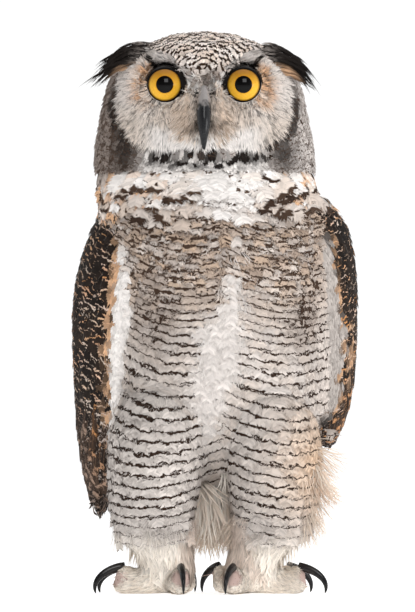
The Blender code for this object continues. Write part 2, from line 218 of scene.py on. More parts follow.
def run_tree(name, host, tree, values):
    """The result of a Geometry Nodes tree on the host, as an object with a plain mesh."""
    modifier = host.modifiers.new(name, "NODES")
    modifier.node_group = tree
    for item in tree.interface.items_tree:
        if item.in_out == "INPUT" and item.name in values:
            modifier[item.identifier] = values[item.name]
    graph = bpy.context.evaluated_depsgraph_get()
    mesh = bpy.data.meshes.new_from_object(
        host.evaluated_get(graph), preserve_all_data_layers=True, depsgraph=graph
    )
    host.modifiers.remove(modifier)
    mesh.name = name
    return link(name, mesh)


# ---------------------------------------------------------------- skin

FLESH = ["head", "neck", "trunk"]
for word in ("right", "left"):
    FLESH += [part + "_" + word for part in ("wing", "thigh", "shank", "foot")]
FLESH += [f"toe_{toe}_{side}" for toe, side in TOES]
SKIN_GRID = 2.4 * MM

# Feather tracts, numbered as the skin's faces carry them, with the depth of plumage over each.
TRACTS = ("face", "crown", "neck", "front", "back", "thigh", "shank", "foot", "wing", "vent")
TRACT = {name: i for i, name in enumerate(TRACTS)}
DEPTH = dict(face=3.2, crown=4.5, neck=8, front=8, back=7, thigh=8, shank=1.5, foot=0.5, wing=3, vent=9)


def disc_reach(x, z):
    """1 on the rim of the facial disc and less inside it, by X from the head's middle and Z."""
    across = np.maximum(np.abs(x) - 26 * MM, 0) / (43 * MM)
    high = np.abs(z - EYE_Z + 10 * MM) / (40 * MM)
    return (across**2.6 + high**2.6) ** (1 / 2.6)


def brow_line(x):
    """The top of the white brows, which rise from the bill to the ear tufts as a wide V."""
    ways = [0, 6, 12, 16.5, 29, 40, 50]
    return EYE_Z + np.interp(np.abs(x) / MM, ways, [4, 7, 11, 15.5, 23.5, 28, 33]) * MM


def brow_edge(apart):
    """Height over the eyes of the lower edge of the brows, by the way outwards from an eye."""
    ways = [-19, -17, -15.7, -11.6, -6.8, 0, 6.8, 11.6, 16]
    return np.interp(apart, ways, [-2, 2.7, 6.8, 12.3, 16.4, 17.6, 18.1, 21.2, 25])


def rim_reach(apart, high):
    """How far the bare black rim reaches from the middle of the eye, widest above and inside."""
    turn = np.degrees(np.arctan2(high, apart))
    turns = [-180, -120, -60, 0, 50, 90, 130, 180]
    return np.interp(turn, turns, [16.0, 14.6, 14.2, 14.5, 16.8, 18.4, 18.4, 16.0])


def remesh(obj, grid, passes):
    modifier = obj.modifiers.new("remesh", "REMESH")
    modifier.mode = "VOXEL"
    modifier.voxel_size = grid
    smooth = obj.modifiers.new("smooth", "SMOOTH")
    smooth.iterations = passes
    smooth.factor = 0.5
    graph = bpy.context.evaluated_depsgraph_get()
    mesh = bpy.data.meshes.new_from_object(obj.evaluated_get(graph))
    name = obj.name
    bpy.data.objects.remove(obj)
    return link(name, mesh)


def bvh_of(mesh):
    return BVHTree.FromPolygons(
        [v.co for v in mesh.vertices], [tuple(p.vertices) for p in mesh.polygons]
    )


def flesh_tree():
    """A tree of all the solids of flesh, and for each of its faces the kind of solid it is."""
    points, faces, kinds = [], [], []
    for node in FLESH:
        mesh = frame["nodes"][node].data
        start = len(points)
        points += [v.co for v in mesh.vertices]
        faces += [tuple(start + i for i in p.vertices) for p in mesh.polygons]
        kinds += ["foot" if node.startswith("toe") else node.split("_")[0]] * len(mesh.polygons)
    return BVHTree.FromPolygons(points, faces), np.array(kinds)


def tract_of(points, flesh, kinds):
    """The tract of each of these places on the bird."""
    owner = kinds[[flesh.find_nearest(p)[2] for p in points.tolist()]]
    x, y, z = points.T
    tract = np.full(len(points), TRACT["back"])
    tract[(y < 5 * MM) & (owner == "trunk")] = TRACT["front"]
    tract[(owner == "trunk") & (z < 98 * MM) & (y < 45 * MM)] = TRACT["vent"]
    for name in ("neck", "thigh", "shank", "foot", "wing"):
        tract[owner == name] = TRACT[name]
    head = owner == "head"
    tract[head] = TRACT["crown"]
    inside = (disc_reach(x - HEAD_X, z) < 0.97) & (z < brow_line(x - HEAD_X))
    tract[head & inside & (y < HEAD_Y - 14 * MM)] = TRACT["face"]
    return tract


def smoothed(mesh, values, passes):
    """Vertex values averaged along the edges, this many times."""
    edges = np.empty(len(mesh.edges) * 2, np.int32)
    mesh.edges.foreach_get("vertices", edges)
    a, b = edges.reshape(-1, 2).T
    count = np.bincount(a, minlength=len(values)) + np.bincount(b, minlength=len(values))
    for _ in range(passes):
        total = np.bincount(a, values[b], len(values)) + np.bincount(b, values[a], len(values))
        values = 0.5 * values + 0.5 * total / np.maximum(count, 1)
    return values


def claw_ends(toe, side):
    """Where a claw leaves its toe, and its point."""
    points = points_of(frame["nodes"][f"claw_{toe}_{side}"].data)
    tip = points[np.argmin(points[:, 2])]
    return points[np.argmax(np.linalg.norm(points - tip, axis=1))], tip


def make_skin():
    """One closed skin from all the solids of flesh, drawn in by the depth of the plumage."""
    bm = bmesh.new()
    for name in FLESH:
        bm.from_mesh(frame["nodes"][name].data)
    for toe, side in TOES:
        root, tip = claw_ends(toe, side)
        ahead = unit((tip - root) * (1, 1, 0))
        middle = Matrix.Translation(root - ahead * 2 * MM - (0, 0, 6.0 * MM))
        bmesh.ops.create_icosphere(bm, subdivisions=2, radius=8.4 * MM, matrix=middle)
    bmesh.ops.remove_doubles(bm, verts=bm.verts, dist=0.01 * MM)
    mesh = bpy.data.meshes.new("outline")
    bm.to_mesh(mesh)
    bm.free()
    outline = remesh(link("outline", mesh), SKIN_GRID, passes=2)
    surface = bvh_of(outline.data)
    flesh, kinds = flesh_tree()
    points = points_of(outline.data)
    normals = np.array([v.normal for v in outline.data.vertices])
    depth = np.array([DEPTH[name] for name in TRACTS])[tract_of(points, flesh, kinds)] * MM
    depth = smoothed(outline.data, depth, passes=8)
    outline.data.vertices.foreach_set("co", (points - normals * depth[:, None]).ravel())
    skin = remesh(outline, SKIN_GRID, passes=3)
    skin.name = "skin"
    mesh = skin.data
    mesh.shade_smooth()
    bm = bmesh.new()
    bm.from_mesh(mesh)
    bmesh.ops.triangulate(bm, faces=bm.faces)
    bm.to_mesh(mesh)
    bm.free()
    points = points_of(mesh)
    gap = np.array([surface.find_nearest(p)[3] for p in points.tolist()])
    write(mesh, "coat", "FLOAT", np.clip(gap, 0.6 * MM, 12 * MM))
    ends = np.empty(len(mesh.polygons) * 3, np.int32)
    mesh.polygons.foreach_get("vertices", ends)
    tract = tract_of(points, flesh, kinds)
    write(mesh, "tract", "INT", tract[ends.reshape(-1, 3)[:, 0]], "FACE")
    normals = np.array([v.normal for v in mesh.vertices])
    smooth = unit(np.column_stack([smoothed(mesh, normals[:, i], passes=6) for i in range(3)]))
    write(mesh, "out", "FLOAT_VECTOR", smooth)
    return skin, tract


def unwrap(obj):
    """The bake map of the skin, which the feathers' patches are placed on too."""
    bpy.context.view_layer.objects.active = obj
    obj.select_set(True)
    bpy.ops.object.mode_set(mode="EDIT")
    bpy.ops.mesh.select_all(action="SELECT")
    bpy.ops.uv.smart_project(angle_limit=math.radians(75), island_margin=0.002)
    bpy.ops.object.mode_set(mode="OBJECT")
    obj.data.uv_layers[0].name = "OFBake"


# ---------------------------------------------------------------- shapes of feathers
# Each shape lies along +Y from its quill at the origin, one unit long and one wide.


def new_sheet():
    return {"points": [], "faces": [], "across": [], "strand": []}


def blade(sheet, start, end, width, strand, bow=0.0, cuts=2):
    """A thin tapering lock from start to end, which bows sideways and comes to a point."""
    start, end = np.array(start, float), np.array(end, float)
    run = end - start
    side = np.array([run[1], -run[0], 0]) / max(math.hypot(run[0], run[1]), 1e-6)
    first = len(sheet["points"])
    for i in range(cuts):
        share = i / cuts
        middle = start + run * share + side * bow * math.sin(math.pi * share)
        half = 0.5 * width * (0.75 + 0.5 * share) * (1 - share**3)
        sheet["points"] += [middle - side * half, middle + side * half]
    sheet["points"].append(end)
    for i in range(cuts - 1):
        at = first + 2 * i
        sheet["faces"] += [(at, at + 1, at + 3), (at, at + 3, at + 2)]
    at = first + 2 * (cuts - 1)
    sheet["faces"].append((at, at + 1, at + 2))
    sheet["strand"] += [strand] * (2 * cuts + 1)


def finish_shape(name, sheet):
    points = np.array(sheet["points"])
    mesh = mesh_of(name, points, sheet["faces"])
    across = np.clip(points[:, 0] * 2, -1, 1)
    along = np.clip(points[:, 1], 0, 1)
    write(mesh, "feather", "FLOAT_VECTOR", np.column_stack([across, along, sheet["strand"]]))
    write(mesh, "patch", "FLOAT_VECTOR", np.column_stack([0.5 + across / 2, along, 0 * along]))
    return bpy.data.objects.new(name, mesh)


def vane(name, barbs, rake, seed, fray=0.05, pointed=0.0, cuts=3):
    """A feather as a fan of locks of barbs that leave its shaft on both sides."""
    sheet, random = new_sheet(), np.random.default_rng(seed)
    for i in range(barbs):
        for side in (-1, 1):
            root = 0.03 + 0.80 * (i + 0.25 * (side + 1)) / barbs
            tip = min(root + rake * (1 - 0.45 * root), 0.99) + random.uniform(-fray, fray) * 0.6
            round_edge = math.sqrt(max(1 - ((tip - 0.56) / 0.47) ** 2, 0.03))
            half = 0.5 * round_edge * (1 - pointed * tip) * (1 + random.uniform(-fray, fray))
            lift = random.uniform(-0.012, 0.016) - 0.05 * half
            width = 0.17 * 8 / barbs * random.uniform(0.9, 1.25)
            end = (side * half, tip, lift)
            blade(sheet, (side * 0.01, root, 0), end, width, random.random(), 0.03 * side, cuts)
    blade(sheet, (0, 0, 0.004), (0, 1, 0.01), 0.13 * 8 / barbs, 0.5, 0, cuts)
    return finish_shape(name, sheet)


def tuft(name, threads, spread, width, seed, wave=0.05, cuts=2, rise=0.04):
    """A tuft of thin filaments that start together and spread."""
    sheet, random = new_sheet(), np.random.default_rng(seed)
    for i in range(threads):
        share = (i + 0.5) / threads * 2 - 1
        reach = random.uniform(0.72, 1.0) * (1 - 0.15 * share * share)
        end = (share * spread + random.uniform(-0.04, 0.04), reach, random.uniform(-rise, rise))
        start = (share * spread * 0.25, 0.03 * random.random(), 0)
        blade(sheet, start, end, width, random.random(), random.uniform(-wave, wave), cuts)
    return finish_shape(name, sheet)


def shape_set(name, maker, count=3, **sizes):
    """A few versions of one shape, in a collection that a tree picks from."""
    shapes = bpy.data.collections.new(name)
    for i in range(count):
        shapes.objects.link(maker(f"{name}_{i}", seed=11 + 7 * i, **sizes))
    return shapes


# ---------------------------------------------------------------- roots and plumage trees


def roots_tree():
    """Points about one Spacing apart over the faces of one Tract."""
    tree, inputs = new_tree("feather_roots", {"Tract": "Int", "Spacing": "Float", "Seed": "Int"})
    tract = add(tree, "GeometryNodeInputNamedAttribute", "tract", data_type="INT")
    same = {"data_type": "INT", "operation": "EQUAL"}
    here = add(tree, "FunctionNodeCompare", tract, inputs["Tract"], **same)
    area = add(tree, MATH, inputs["Spacing"], inputs["Spacing"], operation="MULTIPLY")
    scatter = add(
        tree,
        "GeometryNodeDistributePointsOnFaces",
        inputs["Geometry"],
        by_name={
            "Selection": here,
            "Distance Min": inputs["Spacing"],
            "Density Max": add(tree, MATH, 5.0, area, operation="DIVIDE"),
            "Seed": inputs["Seed"],
        },
        distribute_method="POISSON",
    )
    points = add(tree, "GeometryNodePointsToVertices", scatter)
    add(tree, "NodeGroupOutput", points)
    return tree


def plumage_tree():
    """A feather on each root, laid over the skin as roof tiles lie, its tip at the coat's top."""
    tree, inputs = new_tree(
        "plumage",
        {
            "Skin": "Object",
            "Shapes": "Collection",
            "Feather": "Material",
            "Patch": "Float",
            "Most Shift": "Float",
        },
    )
    names = ("out", "aim", "size", "home", "spot", "patch", "feather", "coat", "lift", "hold", "kind")
    kinds = {"coat": "FLOAT", "lift": "FLOAT", "hold": "FLOAT", "kind": "INT"}
    given = {
        name: add(
            tree,
            "GeometryNodeInputNamedAttribute",
            name,
            data_type=kinds.get(name, "FLOAT_VECTOR"),
        )
        for name in names
    }
    out = given["out"]
    shapes = add(tree, "GeometryNodeCollectionInfo", inputs["Shapes"], True, True)
    align = "FunctionNodeAlignRotationToVector"
    upright = add(tree, align, by_name={"Vector": out}, axis="Z")
    turned = add(tree, align, upright, by_name={"Vector": given["aim"]}, axis="Y", pivot_axis="Z")
    feathers = add(
        tree,
        "GeometryNodeInstanceOnPoints",
        inputs["Geometry"],
        by_name={
            "Instance": shapes,
            "Pick Instance": True,
            "Instance Index": given["kind"],
            "Rotation": turned,
            "Scale": given["size"],
        },
    )
    real = add(tree, "GeometryNodeRealizeInstances", feathers)
    # how high each point stands over its feather's root, and the skin below it
    place = add(tree, "GeometryNodeInputPosition")
    away = add(tree, VECTOR, place, given["home"], operation="SUBTRACT")
    rise = add(tree, VECTOR, away, out, operation="DOT_PRODUCT")
    raised = add(tree, VECTOR, out, rise, operation="SCALE")
    flat = add(tree, VECTOR, place, raised, operation="SUBTRACT")
    skin = add(tree, "GeometryNodeObjectInfo", inputs["Skin"]).outputs["Geometry"]
    under, out_there, depth = (
        add(
            tree,
            "GeometryNodeSampleNearestSurface",
            skin,
            value,
            by_name={"Sample Position": flat},
            data_type=kind,
        )
        for value, kind in ((place, "FLOAT_VECTOR"), (out, "FLOAT_VECTOR"), (given["coat"], "FLOAT"))
    )
    out_there = add(tree, VECTOR, out_there, operation="NORMALIZE")
    # the feather rises from its root to the coat's top at its tip
    along = add(tree, PARTS, given["feather"]).outputs[1]
    curve = add(tree, MATH, along, 0.9, operation="POWER")
    profile = add(tree, MATH, curve, 0.86, 0.12, operation="MULTIPLY_ADD")
    lift = add(tree, MATH, depth, profile, operation="MULTIPLY")
    height = add(tree, MATH, lift, given["lift"], rise, operation="MULTIPLY_ADD")
    over = add(tree, VECTOR, out_there, height, operation="SCALE")
    laid = add(tree, VECTOR, under, over, operation="ADD")
    shift = add(tree, VECTOR, laid, place, operation="SUBTRACT")
    way = add(tree, VECTOR, shift, operation="LENGTH")
    limit = add(tree, MATH, inputs["Most Shift"], way, operation="DIVIDE")
    limit = add(tree, MATH, limit, 1.0, operation="MINIMUM")
    share = add(tree, MATH, limit, given["hold"], operation="MULTIPLY")
    offset = add(tree, VECTOR, shift, share, operation="SCALE")
    moved = add(tree, "GeometryNodeSetPosition", real, by_name={"Offset": offset})
    # each feather's patch on the bake map
    centred = add(tree, VECTOR, given["patch"], (0.5, 0.5, 0), operation="SUBTRACT")
    small = add(tree, VECTOR, centred, inputs["Patch"], operation="SCALE")
    mapped = add(
        tree,
        "GeometryNodeStoreNamedAttribute",
        moved,
        by_name={
            "Name": "OFBake",
            "Value": add(tree, VECTOR, given["spot"], small, operation="ADD"),
        },
        data_type="FLOAT2",
        domain="CORNER",
    )
    finish = add(tree, "GeometryNodeSetMaterial", mapped, by_name={"Material": inputs["Feather"]})
    add(tree, "NodeGroupOutput", finish)
    return tree


# ---------------------------------------------------------------- colours of the plumage

COLOURS = {
    "white": "#E9E4E0",
    "pale": "#DAD3CE",
    "grey": "#B5AAA3",
    "breast": "#B3A193",
    "buff": "#CDAE90",
    "orange": "#CF9159",
    "bar": "#33241B",
    "brown": "#4F3D31",
    "black": "#17110E",
    "face": "#DACEC3",
    "rust": "#D6AC88",
    "belly": "#CDC5BF",
    "crown": "#F2E8E1",
    # the white lining of the wing's inner front, darkened by painted shade, for the bird's left side
    "lining": "#ADA59F",
    "cream": "#E6D9CA",
    "ivory": "#FCF4E9",
    "pink": "#D6C3B5",
    # smoky grey: the plumage's own, and also painted shade on the bird's right side of the head and neck
    "smoke": "#8C7E75",
    "hip": "#DCC4B0",
    "mantle": "#8E7B6B",
    "skin": "#C4ABA2",
}
TONE = {name: np.array(srgb(code)) for name, code in COLOURS.items()}


def mixed(one, other, share):
    """One colour, or an array of them, turned towards another by a share at each place."""
    share = np.clip(share, 0, 1)[:, None]
    return np.asarray(one) * (1 - share) + np.asarray(other) * share


def lump(values, places, size, seed):
    """Soft waves over the body, between 0 and 1, from a few sines of fixed directions."""
    random = np.random.default_rng(seed)
    total = np.zeros(len(places))
    for _ in range(5):
        way = random.normal(size=3)
        way *= 2 * math.pi / (size * random.uniform(0.7, 1.4)) / np.linalg.norm(way)
        total += np.sin(places @ way + random.uniform(0, 6.3))
    return values * np.clip(0.5 + total / 4.5, 0, 1)


def look(ground, dark, bars=0.0, blotch=0.0, fleck=0.0, tip=0.0, edge=0.3, streak=0.1, broad=1.0):
    """The markings at each place: two colours, and how strongly each pattern shows."""
    count = len(ground)

    def column(*values):
        return np.column_stack([np.broadcast_to(v, count) for v in values])

    dark = np.broadcast_to(dark, (count, 3))
    return {
        "ground": ground,
        "dark": dark,
        "marks": column(bars, blotch, fleck),
        "ends": column(tip, edge, streak),
        "broad": np.broadcast_to(broad, count).astype(float),
    }


def write_marks(mesh, marks):
    """Stores a look's markings on the points of a mesh, for the feather material."""
    for key in ("ground", "dark"):
        alpha = np.ones(len(marks[key]))
        write(mesh, key, "FLOAT_COLOR", np.column_stack([marks[key], alpha]))
    for key in ("marks", "ends"):
        write(mesh, key, "FLOAT_VECTOR", marks[key])
    write(mesh, "broad", "FLOAT", marks["broad"])


def from_eye(places):
    """X from the middle of the head, the way outwards from the nearer eye and the height over
    it, in millimetres."""
    x = (places[:, 0] - HEAD_X) / MM
    return x, np.abs(x) - EYE_OUT, (places[:, 2] - EYE_Z) / MM


def white_strip(places):
    """The white parting down the middle of the belly, where no bars reach."""
    x, _, z = places.T / MM
    heights = [125, 145, 161, 180, 199, 220, 240, 262, 273]
    middle = np.interp(z, heights, [-5, -6, -7, -2, 4, 8, 12, 15, 16])
    half = np.interp(z, heights, [2, 6, 11, 16, 19, 15, 8, 4, -3]) + lump(9, places, 12 * MM, 3) - 4.5
    return (1 - ramp(np.abs(x - middle), half - 3, half + 5)) * ramp(z, 112, 135)


def look_front(places):
    """Belly bars on pale feathers, denser and browner on the breast, with the white parting."""
    x, _, z = places.T / MM
    centre = white_strip(places)
    breast = ramp(z, 205, 275)
    bib = ramp(z + lump(14, places, 26 * MM, 9), 306, 326)
    side = bump(x + 45, 13) + bump(x - 70, 13)
    smudge = side * bump(z - 222, 24)
    ground = mixed(TONE["belly"], TONE["breast"], 0.9 * breast)
    ground = mixed(ground, TONE["buff"], 0.5 * lump(1.0, places, 18 * MM, 12) * (0.3 + 0.7 * breast))
    ground = mixed(ground, TONE["pale"], 0.6 * breast * ramp(lump(1, places, 8 * MM, 58), 0.5, 0.7))
    ground = mixed(ground, TONE["brown"], 0.35 * breast * ramp(lump(1, places, 12 * MM, 59), 0.55, 0.75))
    ground = mixed(ground, TONE["pale"], centre)
    ground = mixed(ground, TONE["pale"], bib * (0.35 + 0.6 * bump(x - 8, 34)))
    ground = mixed(ground, TONE["smoke"], 0.6 * smudge)
    strip, _, inside = lining_at(places)
    flank = strip * inside
    ground = mixed(ground, lining_with_painted_shade(places), flank)
    centre = np.maximum(centre, flank)
    dark = mixed(TONE["bar"], TONE["brown"], 0.5 * np.maximum(breast, bib))
    bars = (1 - centre) * (1 - 0.2 * breast) * (1 - bib) * (0.5 + lump(0.65, places, 20 * MM, 57))
    blotch = (0.15 + 0.6 * breast) * (1 - 0.5 * bib) + 0.7 * smudge
    tip = 0.3 * bib
    fleck = 0.35 + 0.35 * breast
    broad = 0.95 + 0.55 * breast
    return look(
        ground,
        dark,
        bars=bars,
        blotch=blotch * (1 - centre),
        fleck=fleck * (1 - centre),
        tip=tip,
        edge=0.2,
        streak=0,
        broad=broad,
    )


def look_bib(places):
    """Big soft white feathers of the throat patch, many with a broad dark brown end."""
    x, _, z = places.T / MM
    aside = ramp(np.abs(x - 6), 9, 30)
    ground = mixed(TONE["white"], TONE["buff"], 0.35 * aside * lump(1.2, places, 15 * MM, 22))
    low = (1 - ramp(z + lump(10, places, 20 * MM, 56), 320, 334)) * ramp(np.abs(x - 10), 8, 24)
    ground = mixed(ground, TONE["breast"], 0.5 * low)
    dark = mixed(TONE["bar"], TONE["brown"], lump(1.0, places, 11 * MM, 23))
    tip = 0.5 + 0.55 * aside
    return look(
        ground,
        dark,
        blotch=0.5 * aside + 0.15 * low,
        fleck=0.45 * aside,
        tip=tip,
        edge=0.1,
        streak=0,
    )


def look_neck(places):
    x, y, z = places.T / MM
    front = ramp(-y, -20, 15) * (1 - ramp(np.abs(x) + 1.2 * (z - 335), 78, 98))
    aside = ramp(np.abs(x - 6), 30, 60) * lump(1.3, places, 9 * MM, 60)
    ground = mixed(TONE["grey"], TONE["white"], front)
    ground = mixed(ground, TONE["rust"], 0.8 * aside * front)
    # the sides and back of the neck turn smoky on the bird's right: partly the plumage's own grey,
    # partly painted shade on the side away from the lamps
    ground = mixed(ground, TONE["smoke"], 0.7 * (1 - front) * ramp(-x, 30, 80))
    dark = mixed(TONE["bar"], TONE["brown"], front)
    return look(
        ground,
        dark,
        bars=0.3 * (1 - front),
        blotch=0.75,
        fleck=0.85 - 0.4 * front,
        tip=0.5 * front,
    )


def look_crown(places):
    x, y, z = places.T / MM
    x = x - HEAD_X / MM
    top = ramp(z, 416, 434)
    front = ramp(-y, 5, 35)
    collar = bump(z - 353 - 0.003 * x**2, 5) * front * (1 - ramp(np.abs(x), 46, 62))
    reach = disc_reach(x * MM, z * MM)
    band = np.interp(z, [350, 372, 395, 425], [0.04, 0.15, 0.12, 0.03])
    rim = front * (1 - ramp(reach - 1, band, band + 0.06)) * (1 - ramp(z, 398, 428))
    rim = np.maximum(rim, bump(np.abs(x) - 62, 9) * bump(z - 362, 14) * front)
    ground = mixed(TONE["grey"], TONE["crown"], top)
    # below the crown's top the head turns smoky on the bird's right and pale on its left: partly the
    # plumage's own tones, partly painted shade and painted light from the lamps' side
    ground = mixed(ground, TONE["smoke"], 0.75 * (1 - top) * ramp(-x, 30, 75))
    ground = mixed(ground, TONE["pale"], 0.7 * (1 - top) * ramp(x, 40, 75))
    ground = mixed(ground, TONE["buff"], lump(0.4, places, 15 * MM, 13) * top)
    patch = ramp(lump(1.0, places, 11 * MM, 55), 0.52, 0.72) * (1 - top) * ramp(-y, 0, 25)
    ground = mixed(ground, TONE["brown"], 0.85 * patch * (1 - ramp(x, 20, 60) * 0.5))
    nape = ramp(y, 0, 30)
    ground = mixed(ground, TONE["brown"], nape * (0.2 + lump(0.25, places, 5 * MM, 61)))
    dusk = 1.4 * collar * (0.1 + lump(1.1, places, 7 * MM, 2))
    throat = front * (1 - ramp(z - 0.003 * x**2, 354, 360)) * (1 - ramp(np.abs(x), 42, 58))
    ground = mixed(ground, TONE["white"], 0.9 * throat)
    ground = mixed(ground, TONE["black"], np.clip(np.maximum(0.95 * rim, dusk), 0, 1))
    dark = mixed(TONE["brown"], TONE["bar"], 0.5 + 0.5 * top)
    clear = 1 - 0.85 * throat
    marks = (0.4 + 0.5 * np.maximum(top, nape)) * clear
    fleck = 0.8 * (1 - 0.2 * top) * clear
    return look(
        ground,
        dark,
        bars=marks,
        blotch=0.55 * clear,
        fleck=fleck,
        tip=0.3,
        streak=0.2,
        broad=1.0 + 0.8 * top,
    )


def chin_at(places):
    """The white band under the disc, which curves up on each side of the bill's tip."""
    x, _, z = places.T / MM
    x = x - HEAD_X / MM
    band = ramp(z - 0.0034 * x**2, 352, 356) * (1 - ramp(z - 0.0034 * x**2, 370, 379))
    return band * (1 - ramp(np.abs(x), 36, 56))


def dusky_face(places):
    low = 1 - ramp(places[:, 2], EYE_Z - 32 * MM, EYE_Z - 10 * MM)
    return (0.07 + 0.24 * low) * (1 - 0.9 * chin_at(places))


def look_face(places):
    x, apart, high = from_eye(places)
    z = places[:, 2] / MM
    r = np.hypot(apart, high)
    below = brow_edge(apart) - high
    rim = 1 - ramp(r - rim_reach(apart, high), -0.5, 0.2)
    # painted shadow: a black line along the lower edge of the brow, where the brow shades the eye
    line = bump(below - 1.8, 1.9) * ramp(apart, -19, -14) * (1 - ramp(apart, 12, 17))
    brow = ramp(-below, -1, 1.5) * ramp(np.abs(x), 3, 9) * (1 - ramp(apart, 8, 22))
    outer = ramp(apart, 4, 16) * (1 - ramp(r, 28, 36)) * ramp(r, 15, 19) * ramp(high, -26, -12)
    chin = chin_at(places)
    whisker = bump(np.abs(x) - 15, 9) * bump(z - 386, 10)
    mouth = bump(np.abs(x) - 10, 5) * bump(z - 380, 4)
    sweep = bump(high + 15 + 0.55 * apart, 4) * (1 - ramp(apart, 14, 26)) * ramp(apart, -26, -18)
    sweep = np.maximum(sweep, 1.3 * bump(np.abs(x) - 12, 4) * bump(high + 2, 8))
    edge = ramp(disc_reach(x * MM, z * MM), 0.74, 0.92)
    edge = np.maximum(edge, ramp(apart, 22, 30)) * ramp(high, -34, -10)
    ground = mixed(TONE["face"], TONE["rust"], 0.8 * outer * lump(1.6, places, 12 * MM, 30))
    ground = mixed(ground, TONE["brown"], 0.55 * mouth)
    ground = mixed(ground, TONE["buff"], 0.4 * whisker)
    ground = mixed(ground, TONE["white"], np.clip(0.95 * chin + 0.8 * brow + 0.45 * sweep, 0, 1))
    ground = mixed(ground, TONE["pale"], 0.8 * edge)
    ground = mixed(ground, TONE["black"], np.clip(rim + line, 0, 1))
    fleck = 0.7 * (1 - 0.75 * chin) * (1 - 0.6 * brow)
    smooth = (1 - ramp(np.abs(x), 16, 24)) * ramp(high, -20, -12)
    return look(
        ground,
        TONE["brown"],
        blotch=0.3 * (1 - smooth),
        fleck=fleck * (1 - 0.6 * smooth),
        edge=0.1,
        streak=0,
    )


def look_leg(places):
    x, _, z = places.T / MM
    low = 1 - ramp(z, 30, 52)
    inner = (1 - ramp(np.abs(x - 2) - 0.34 * (108 - z), 2, 9)) * (1 - ramp(z, 95, 112))
    fluff = bump(x - 88, 24) * bump(z - 108, 34)
    ground = mixed(TONE["belly"], TONE["ivory"], low)
    ground = mixed(ground, TONE["pink"], 0.7 * inner)
    ground = mixed(ground, TONE["buff"], 0.95 * fluff)
    fade = ramp(z + lump(22, places, 16 * MM, 53), 48, 92)
    fade = fade * (0.7 + lump(0.5, places, 20 * MM, 61))
    bars = (0.2 + 0.8 * fade) * ramp(z, 34, 46) * (1 - 0.6 * inner) * (1 - 0.6 * fluff)
    return look(ground, TONE["bar"], bars=bars, blotch=0.1, fleck=0.3, edge=0.2, streak=0)


def toe_end(places):
    """1 on the bare rough pads at the ends of the toes."""
    bare = np.zeros(len(places))
    for toe, side in TOES:
        root, tip = claw_ends(toe, side)
        ahead = unit((tip - root) * (1, 1, 0))
        off = np.linalg.norm(places - (root + ahead * 2.5 * MM - (0, 0, 9 * MM)), axis=1) / MM
        bare = np.maximum(bare, 1 - ramp(off, 6.5, 9))
    return bare


def look_foot(places):
    pad = toe_end(places)
    ground = mixed(TONE["ivory"], TONE["buff"], lump(0.2, places, 9 * MM, 4))
    ground = mixed(ground, TONE["skin"], pad)
    return look(
        ground,
        TONE["brown"],
        blotch=0.25 * pad,
        fleck=0.08 + 0.5 * pad,
        edge=0.2,
        streak=0,
    )


def look_vent(places):
    ground = mixed(TONE["ivory"], TONE["hip"], lump(0.8, places, 16 * MM, 5))
    return look(ground, TONE["brown"], blotch=0.15, fleck=0.12, edge=0.2, streak=0)


def look_back(places):
    ground = mixed(TONE["mantle"], TONE["grey"], lump(0.9, places, 22 * MM, 6))
    ground = mixed(ground, TONE["buff"], lump(0.5, places, 13 * MM, 16))
    _, y, z = places.T / MM
    saddle = ramp(y, 15, 45) * ramp(z, 150, 225)
    ground = mixed(ground, TONE["brown"], 0.6 * saddle)
    return look(
        ground,
        TONE["bar"],
        bars=0.8,
        blotch=0.8,
        fleck=0.75,
        tip=0.3,
        edge=0.25,
        streak=0.3,
        broad=1.3,
    )


def lining_at(places):
    """How far each place lies on the pale strip along the inner front of a wing, and on the buff
    edge outside it. The strip starts on the flank, beside the belly."""
    x, y, z = places.T / MM
    right = x < 0
    outer = np.interp(z, [130, 158, 199, 240, 263, 281], [83, 83, 84, 80, 77, 73])
    outer = np.where(right, outer, np.interp(z, [155, 166, 207, 240, 268], [98, 100, 104, 98, 95]))
    outer = outer + lump(np.where(right, 3, 8), places, 16 * MM, 54) - np.where(right, 1.5, 4)
    inner = np.interp(z, [117, 158, 199, 240, 281], [82, 78, 74.5, 68, 70])
    inner = np.where(right, inner, np.interp(z, [166, 207, 240, 268], [93, 92, 90, 87]))
    front = (1 - ramp(y, 10, 30)) * ramp(z, np.where(right, 118, 140), np.where(right, 135, 158))
    front = front * (1 - ramp(z, 280, 296))
    off = np.abs(x) - outer
    strip = (1 - ramp(off, -1, 1.5)) * front
    inside = ramp(np.abs(x) - inner, -1.5, 1.5)
    ragged = lump(1.4, places, 9 * MM, 51) * np.where(right, 1.2, 0.8)
    border = bump(off - 3.2, 2.0) * front * np.clip(ragged, 0, 1)
    return strip, border, inside


def lining_with_painted_shade(places):
    # white on the bird's right; on its left the same white lining is darkened by painted shade
    return mixed(TONE["white"], TONE["lining"], ramp(places[:, 0], -0.02, 0.02))


